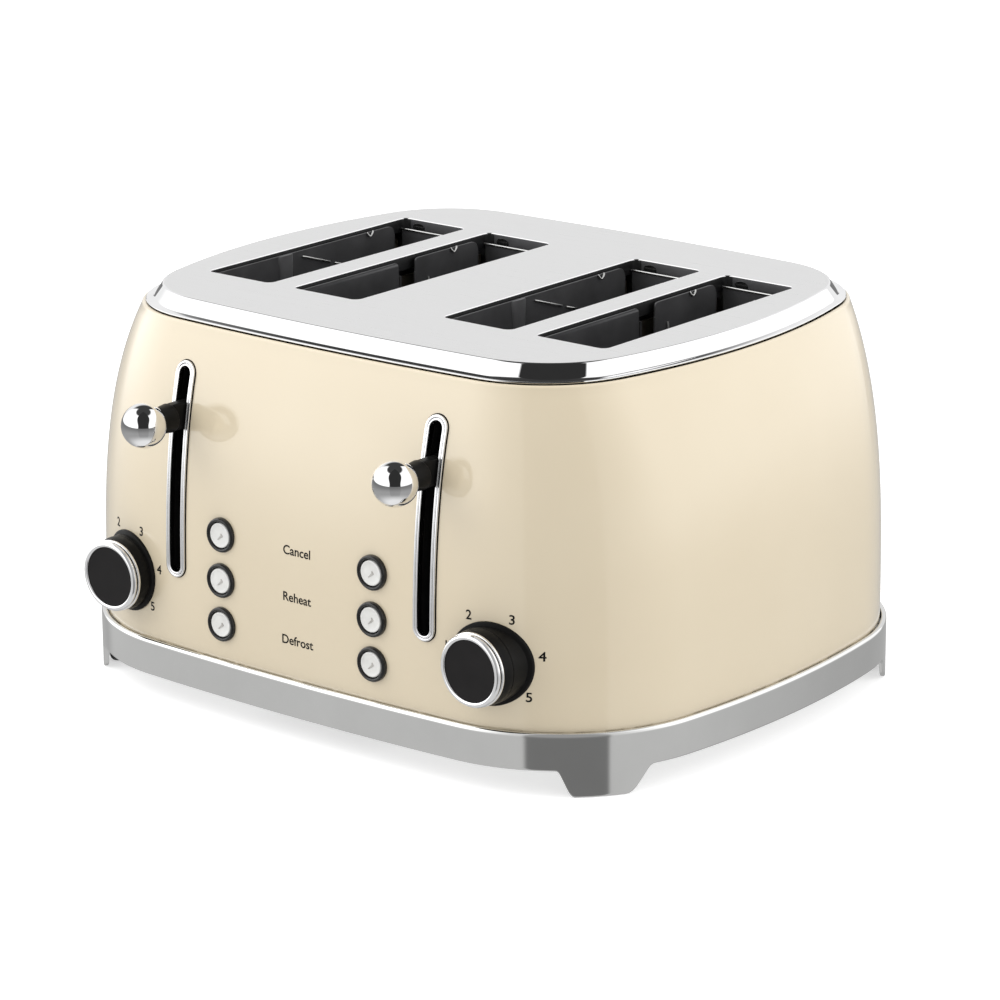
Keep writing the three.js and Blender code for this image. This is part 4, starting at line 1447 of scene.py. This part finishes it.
def guide_plate(name, x, inwards, split):
    """Pressed plate beside a slice of bread. inwards is the side the bread is on."""

    def to_point(u, v, depth):
        flare = 0.3 * max(0.0, (v - 168) / (GUIDE_TOP - 168)) ** 2
        lengthways = 0.4 * max(0.0, (u - 56) / 16) ** 2
        bow = 0.9 * math.cos((u + 27) / 34 * math.pi / 2) ** 2 if u < 7 else 0.5
        return (x + inwards * (depth - GUIDE_THICK / 2 - flare - lengthways + bow * 0.5), u, v)

    face = x + inwards * 0.75

    def clip_wire(part, path):
        """A thin wire from (height above the plate, y, z) places."""
        places = [(face + inwards * (out - 0.5), y, z) for out, y, z in path]
        return wire(f"{name}_{part}", places, GUIDE_WIRE, STEEL, 4)

    outline = guide_outline(split)
    pieces = [sheet(name, outline, guide_windows(), GUIDE_THICK, to_point, GUIDE_STEEL)]
    if split:
        for y in (8.2, 18.6):
            edge = [(face, y, z) for z in (97, 120, 150, 176)]
            pieces.append(wire(f"{name}_bead_{y:.0f}", edge, 0.55, GUIDE_STEEL, 4))
        lug = [
            (face, 26, 150), (face + inwards * 1.2, 27, 160), (face + inwards * 0.9, 28, 168),
            (face, 28.5, 172),
        ]
        pieces.append(wire(f"{name}_lug", lug, 0.5, STEEL, 4))
    else:
        pieces.append(guide_rib(f"{name}_rib", x, inwards))
        long_spring = [
            (0.4, -1.5, 179.6), (1.0, 0, 179.2), (1.1, 8, 176.6), (1.1, 17, 173.7), (0.3, 18.6, 173.2),
        ]
        short_spring = [(0.3, 21.5, 172.2), (1.1, 23, 171.7), (1.1, 27.5, 170.4), (0.3, 29, 169.9)]
        pieces.append(clip_wire("spring_0", long_spring))
        pieces.append(clip_wire("spring_1", short_spring))
    clip = [
        (0.2, 45.2, 182.6), (0.9, 45.8, 181.2), (1.0, 46.8, 180.4), (1.0, 47.8, 180.9),
        (1.0, 48.6, 181.9), (0.3, 49.6, 182.5),
    ]
    pieces.append(clip_wire("clip", clip))
    return joined(name, pieces)


def guide_rib(name, x, inwards):
    """Upright half-round rib, wide at the top and narrow below."""
    levels = [
        (60, 1.2), (64, 1.8), (110, 2.4), (150, 3.4), (165, 4.2), (176, 4.9), (181.5, 5.1), (182.3, 4.6),
    ]
    columns = 13
    points = []
    for z, half in levels:
        for i in range(columns):
            angle = math.pi * i / (columns - 1)
            out = 0.3 + 1.3 * math.sin(angle)
            points.append((x + inwards * out, -13 - half * math.cos(angle), z))
    faces = []
    for i in range(len(levels) - 1):
        for j in range(columns - 1):
            low = i * columns + j
            faces.append((low, low + 1, low + 1 + columns, low + columns))
    faces.append(tuple(range(columns)))
    top = (len(levels) - 1) * columns
    faces.append(tuple(range(top, top + columns)))
    return make_object(name, points, faces, [RIB_STEEL], sharp=50)


def guide_tie(name, ends, y):
    """Bent wire under the wells that makes two guide plates move as one."""
    left, right = ends
    low = [(left, y, 33), (left, y, 30), (left + 1.5, y, 28.5)]
    high = [(right - 1.5, y, 28.5), (right, y, 30), (right, y, 33)]
    return wire(f"{name}_tie_{y}", low + high, 1.2, STEEL, 5)


def make_guides():
    """Each guide body carries one plate in both wells of its half, tied together below."""
    for side, sign in SIDES:
        middles = [sign * x for x in WELL_X]
        for letter in "ab":
            node = f"bread_guide_{side}_{letter}"
            cad_edge = cad_box(node)[0].x + 0.6
            way = 1 if abs(cad_edge - (min(middles) + GUIDE_REACH)) < 1 else -1
            plates = []
            for index, middle in enumerate(middles):
                inner_side = (way * sign > 0) != (index == 1)
                x = middle + way * GUIDE_REACH
                plates.append(guide_plate(f"{node}_{index}", x, -way, inner_side))
            ends = sorted(middle + way * GUIDE_REACH for middle in middles)
            for y in GUIDE_TIES[letter]:
                plates.append(guide_tie(node, ends, y))
            guides = joined(f"guide_set_{side}_{letter}", plates)
            fit(guides, f"guides_{side}_{letter}", "oven_steel", node)


def make_springs():
    """The coil spring round each guide rod."""
    steps = SPRING_TURNS * 20
    low, high = SPRING_Z
    for side, sign in SIDES:
        path = []
        for step in range(steps + 1):
            angle = 2 * math.pi * SPRING_TURNS * step / steps
            x = sign * LEVER_X + SPRING_RADIUS * math.cos(angle)
            y = ROD_Y + SPRING_RADIUS * math.sin(angle)
            path.append((x, y, low + (high - low) * step / steps))
        spring = wire(f"spring_{side}", path, SPRING_WIRE, STEEL, 4)
        fit(spring, "chassis", "bare_steel", f"lever_spring_{side}")
        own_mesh(spring)


def make_well_ends():
    """Plate and bright cross wire at the rear end of each well, and a black oval of painted shade in the
    slot's rear lip.
    """
    for side, name, x in wells():
        make_end_plate(f"{side}_{name}", x)
        bar = [(x - WELL_WALL, END_PLATE_Y, 179.2), (x + WELL_WALL - 0.2, END_PLATE_Y, 179.2)]
        fit(wire(f"cross_wire_{side}_{name}", bar, 0.5, STEEL, 5), "chassis", "bare_steel")
        make_lip_pressing(f"{side}_{name}", x)


def make_end_plate(suffix, x):
    """Upright plate that leans back towards its foot."""
    low, high = 120, 179.0
    left, right = x - WELL_WALL, x + WELL_WALL
    outline = rounded_loop([(left, low, 3), (right, low, 3), (right, high, 0.6), (left, high, 0.6)], 3)

    def to_point(u, v, depth):
        return u, END_PLATE_Y + 0.4 + depth + 2.2 * max(0, (150 - v) / 30), v

    fit(sheet(f"well_end_{suffix}", outline, [], 0.8, to_point, END_STEEL), "chassis", "oven_steel")


def make_lip_pressing(suffix, x):
    # The gloss black oval on the rear lip is painted shade. It stands in for the dark inside of a hole there.
    steps = [2 * math.pi * i / 32 for i in range(32)]
    oval = [(x - 10.5 + 3.6 * math.cos(a), 180.0 + 2.2 * math.sin(a)) for a in steps]
    rear = SLOT_Y + SLOT_HALF_LENGTH

    def to_point(u, v, depth):
        return u, rear - 0.35 + depth, v

    shade_oval = sheet(f"lip_shade_oval_{suffix}", oval, [], 0.3, to_point, GLOSS_BLACK, 0.1)
    fit(shade_oval, "chassis", "black_plastic")


CARD_TURNS = 22
CARD_MARGIN = 8                     # from the ends of a heating card to its first and last turns
CARD_THICK = 1.0
NOTCH = 1.6


def make_heating_cards():
    for side, _ in SIDES:
        for name in ("inner", "middle", "outer"):
            make_heating_card(f"{side}_{name}")


def make_heating_card(suffix):
    """Mica sheet with notched ends, wound with heating ribbon."""
    node = f"heating_card_{suffix}"
    low, high = cad_box(node)
    centre = (low.x + high.x) / 2
    pitch = (high.z - low.z - 2 * CARD_MARGIN) / CARD_TURNS
    heights = [low.z + CARD_MARGIN + pitch * i for i in range(CARD_TURNS)]
    rear_edge = []
    front_edge = []
    for z in heights:
        rear, front = high.y - NOTCH, low.y + NOTCH
        rear_edge += [(high.y, z - 1), (rear, z - 0.6), (rear, z + 0.6), (high.y, z + 1)]
        front_edge += [(low.y, z - 1), (front, z - 0.6), (front, z + 0.6), (low.y, z + 1)]
    corners = [(low.y, low.z), (high.y, low.z)]
    outline = corners + rear_edge + [(high.y, high.z), (low.y, high.z)] + front_edge[::-1]

    def to_point(u, v, depth):
        return centre - CARD_THICK / 2 + depth, u, v

    card = sheet(f"mica_{suffix}", outline, [], CARD_THICK, to_point, MICA_AND_SHADE, 0.1)
    left, right = centre - 0.75, centre + 0.75
    front, rear = low.y + 1.4, high.y - 1.4
    path = []
    for z in heights[:-1]:
        path += [(left, front, z), (left, rear, z)]
        path += [(right, rear, z + 0.1), (right, front, z + pitch - 0.1)]
    ribbon = wire(f"ribbon_{suffix}", path, 0.28, RIBBON, 2)
    fit(joined(f"element_{suffix}", [card, ribbon]), "chassis", "mica", node)


RACK_HALF_WIDTH = 6
RACK_RUNGS = 13
RUNG_LEAN = 2.2
ARM_THICK = 2.4


def make_racks():
    for side, name, x in wells():
        make_rack(side, name, x)


def make_rack(side, name, x):
    """Wire ladder under a slice, on its carriage arm."""
    node = f"bread_rack_{side}_{name}"
    low, high = cad_box(node)
    z = low.z + 2.5
    left, right = x - RACK_HALF_WIDTH, x + RACK_HALF_WIDTH
    front, rear = low.y + 14, high.y - 1.2
    border = rounded_loop([(left, front, 3), (right, front, 3), (right, rear, 3), (left, rear, 3)], 5)
    wires = [wire(f"{node}_frame", [(u, v, z) for u, v in border], 1.1, STEEL, 6, cyclic=True)]
    first = low.y + 18
    span = (high.y - 6) - first
    for i in range(RACK_RUNGS):
        y = first + span * i / (RACK_RUNGS - 1)
        lean = RUNG_LEAN if i % 2 else -RUNG_LEAN
        rung = [(left, y - lean, z + 0.4), (x, y, z + 0.9), (right, y + lean, z + 0.4)]
        wires.append(wire(f"{node}_rung_{i}", rung, 0.8, STEEL, 4))
    arm = rounded_loop([
        (low.y, low.z, 2), (low.y + 21, low.z, 2), (low.y + 21, low.z + 3.4, 1.5),
        (low.y + 12, low.z + 6, 2), (low.y + 6, high.z, 2), (low.y, high.z, 2),
    ], 5)

    def to_point(u, v, depth):
        return x - ARM_THICK / 2 + depth, u, v

    wires.append(sheet(f"{node}_arm", arm, [], ARM_THICK, to_point, STEEL, 0.3))
    fit(joined(f"rack_{side}_{name}", wires), f"carriage_{side}", "bare_steel", node)


# ------------------------------------------------------------------ rear and underside


def make_gland():
    low, high = cad_box("cord_gland")
    r = (high.x - low.x) / 2
    profile = [(2.8, low.y), (r, low.y), (r, high.y - 4.2)]
    for i in range(3):
        y = high.y - 4.0 + i * 1.2
        profile += [(r + 0.9, y), (r + 0.9, y + 0.7), (r + 0.1, y + 0.9)]
    profile += [(r - 1.4, high.y), (3.2, high.y), (2.7, high.y - 0.8), (2.7, low.y)]
    gland = lathe_y("gland", profile, 0, GLAND_Z, RUBBER, 64)
    fit(gland, "chassis", "rubber", "cord_gland")


def make_tray_faces():
    """Rolled finger grip on the rear face of each crumb tray."""
    for side, _ in SIDES:
        low, high = cad_box(f"crumb_tray_{side}")
        middle = (low.x + high.x) / 2
        half = 17.0
        points = []
        rows = 9
        columns = 40
        for i in range(columns + 1):
            x = middle - half + 2 * half * i / columns
            fade = min(1.0, (half - abs(x - middle)) / 3.5)
            y = -RING.front_y(x)
            for k in range(rows):
                angle = math.pi * k / (rows - 1)
                back = y + 0.1 + 3.2 * math.sin(angle) * fade
                points.append((x, back, low.z + 6.4 + 2.2 * math.cos(angle)))
        faces = []
        for i in range(columns):
            for k in range(rows - 1):
                a = i * rows + k
                faces.append((a, a + rows, a + rows + 1, a + 1))
        lip = make_object(f"tray_lip_{side}", points, faces, [SATIN], sharp=60)
        fit(lip, f"tray_{side}", "base_grey")


def make_pads():
    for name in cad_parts:
        if not name.startswith("foot_pad"):
            continue
        low, high = cad_box(name)
        r = (high.x - low.x) / 2
        profile = rounded([(0, low.z), (r * 0.72, low.z), (r, low.z + 1.6), (r, high.z), (0, high.z)], 0.8)
        x, y = (low.x + high.x) / 2, (low.y + high.y) / 2
        pad = lathe_z(f"{name}_rubber", profile, x, y, RUBBER, 48)
        fit(pad, "chassis", "rubber", name)


SCREW_PLACES = ((-135, 0), (135, 0), (0, -75), (0, 100), (-8, 20), (120, -95), (-120, -95))


def make_screws():
    """Screws with a hollow in the head, which hold the base plate."""
    bottom = cad_box("base_plate")[0].z
    profile = rounded([
        (0, bottom - 0.5), (1.0, bottom - 0.5), (1.3, bottom - 1.3), (2.6, bottom - 1.2), (3.3, bottom + 0.1),
    ], 0.3)
    for i, (x, y) in enumerate(SCREW_PLACES):
        fit(lathe_z(f"base_screw_{i}", profile, x, y, STEEL, 32), "chassis", "bare_steel")


# ------------------------------------------------------------------ carried-over CAD nodes


def paint_nodes():
    """Materials for the CAD pieces whose own shape is shown."""
    paints = {
        "base_plate": SATIN, "control_board": CIRCUIT, "electromagnet": COPPER, "oven_box": OVEN,
        "carriage_bracket": STEEL, "guide_rod": STEEL, "crumb_tray": TRAY_STEEL,
    }
    for name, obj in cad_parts.items():
        for start, material in paints.items():
            if name.startswith(start):
                obj.data.materials.clear()
                obj.data.materials.append(material)


make_studio()
paint_nodes()
make_body()
make_lever_bezels()
make_top_plate()
make_base_ring()
make_levers()
make_knobs()
make_buttons()
make_labels()
make_guides()
make_springs()
make_well_ends()
make_heating_cards()
make_racks()
make_gland()
make_tray_faces()
make_pads()
make_screws()
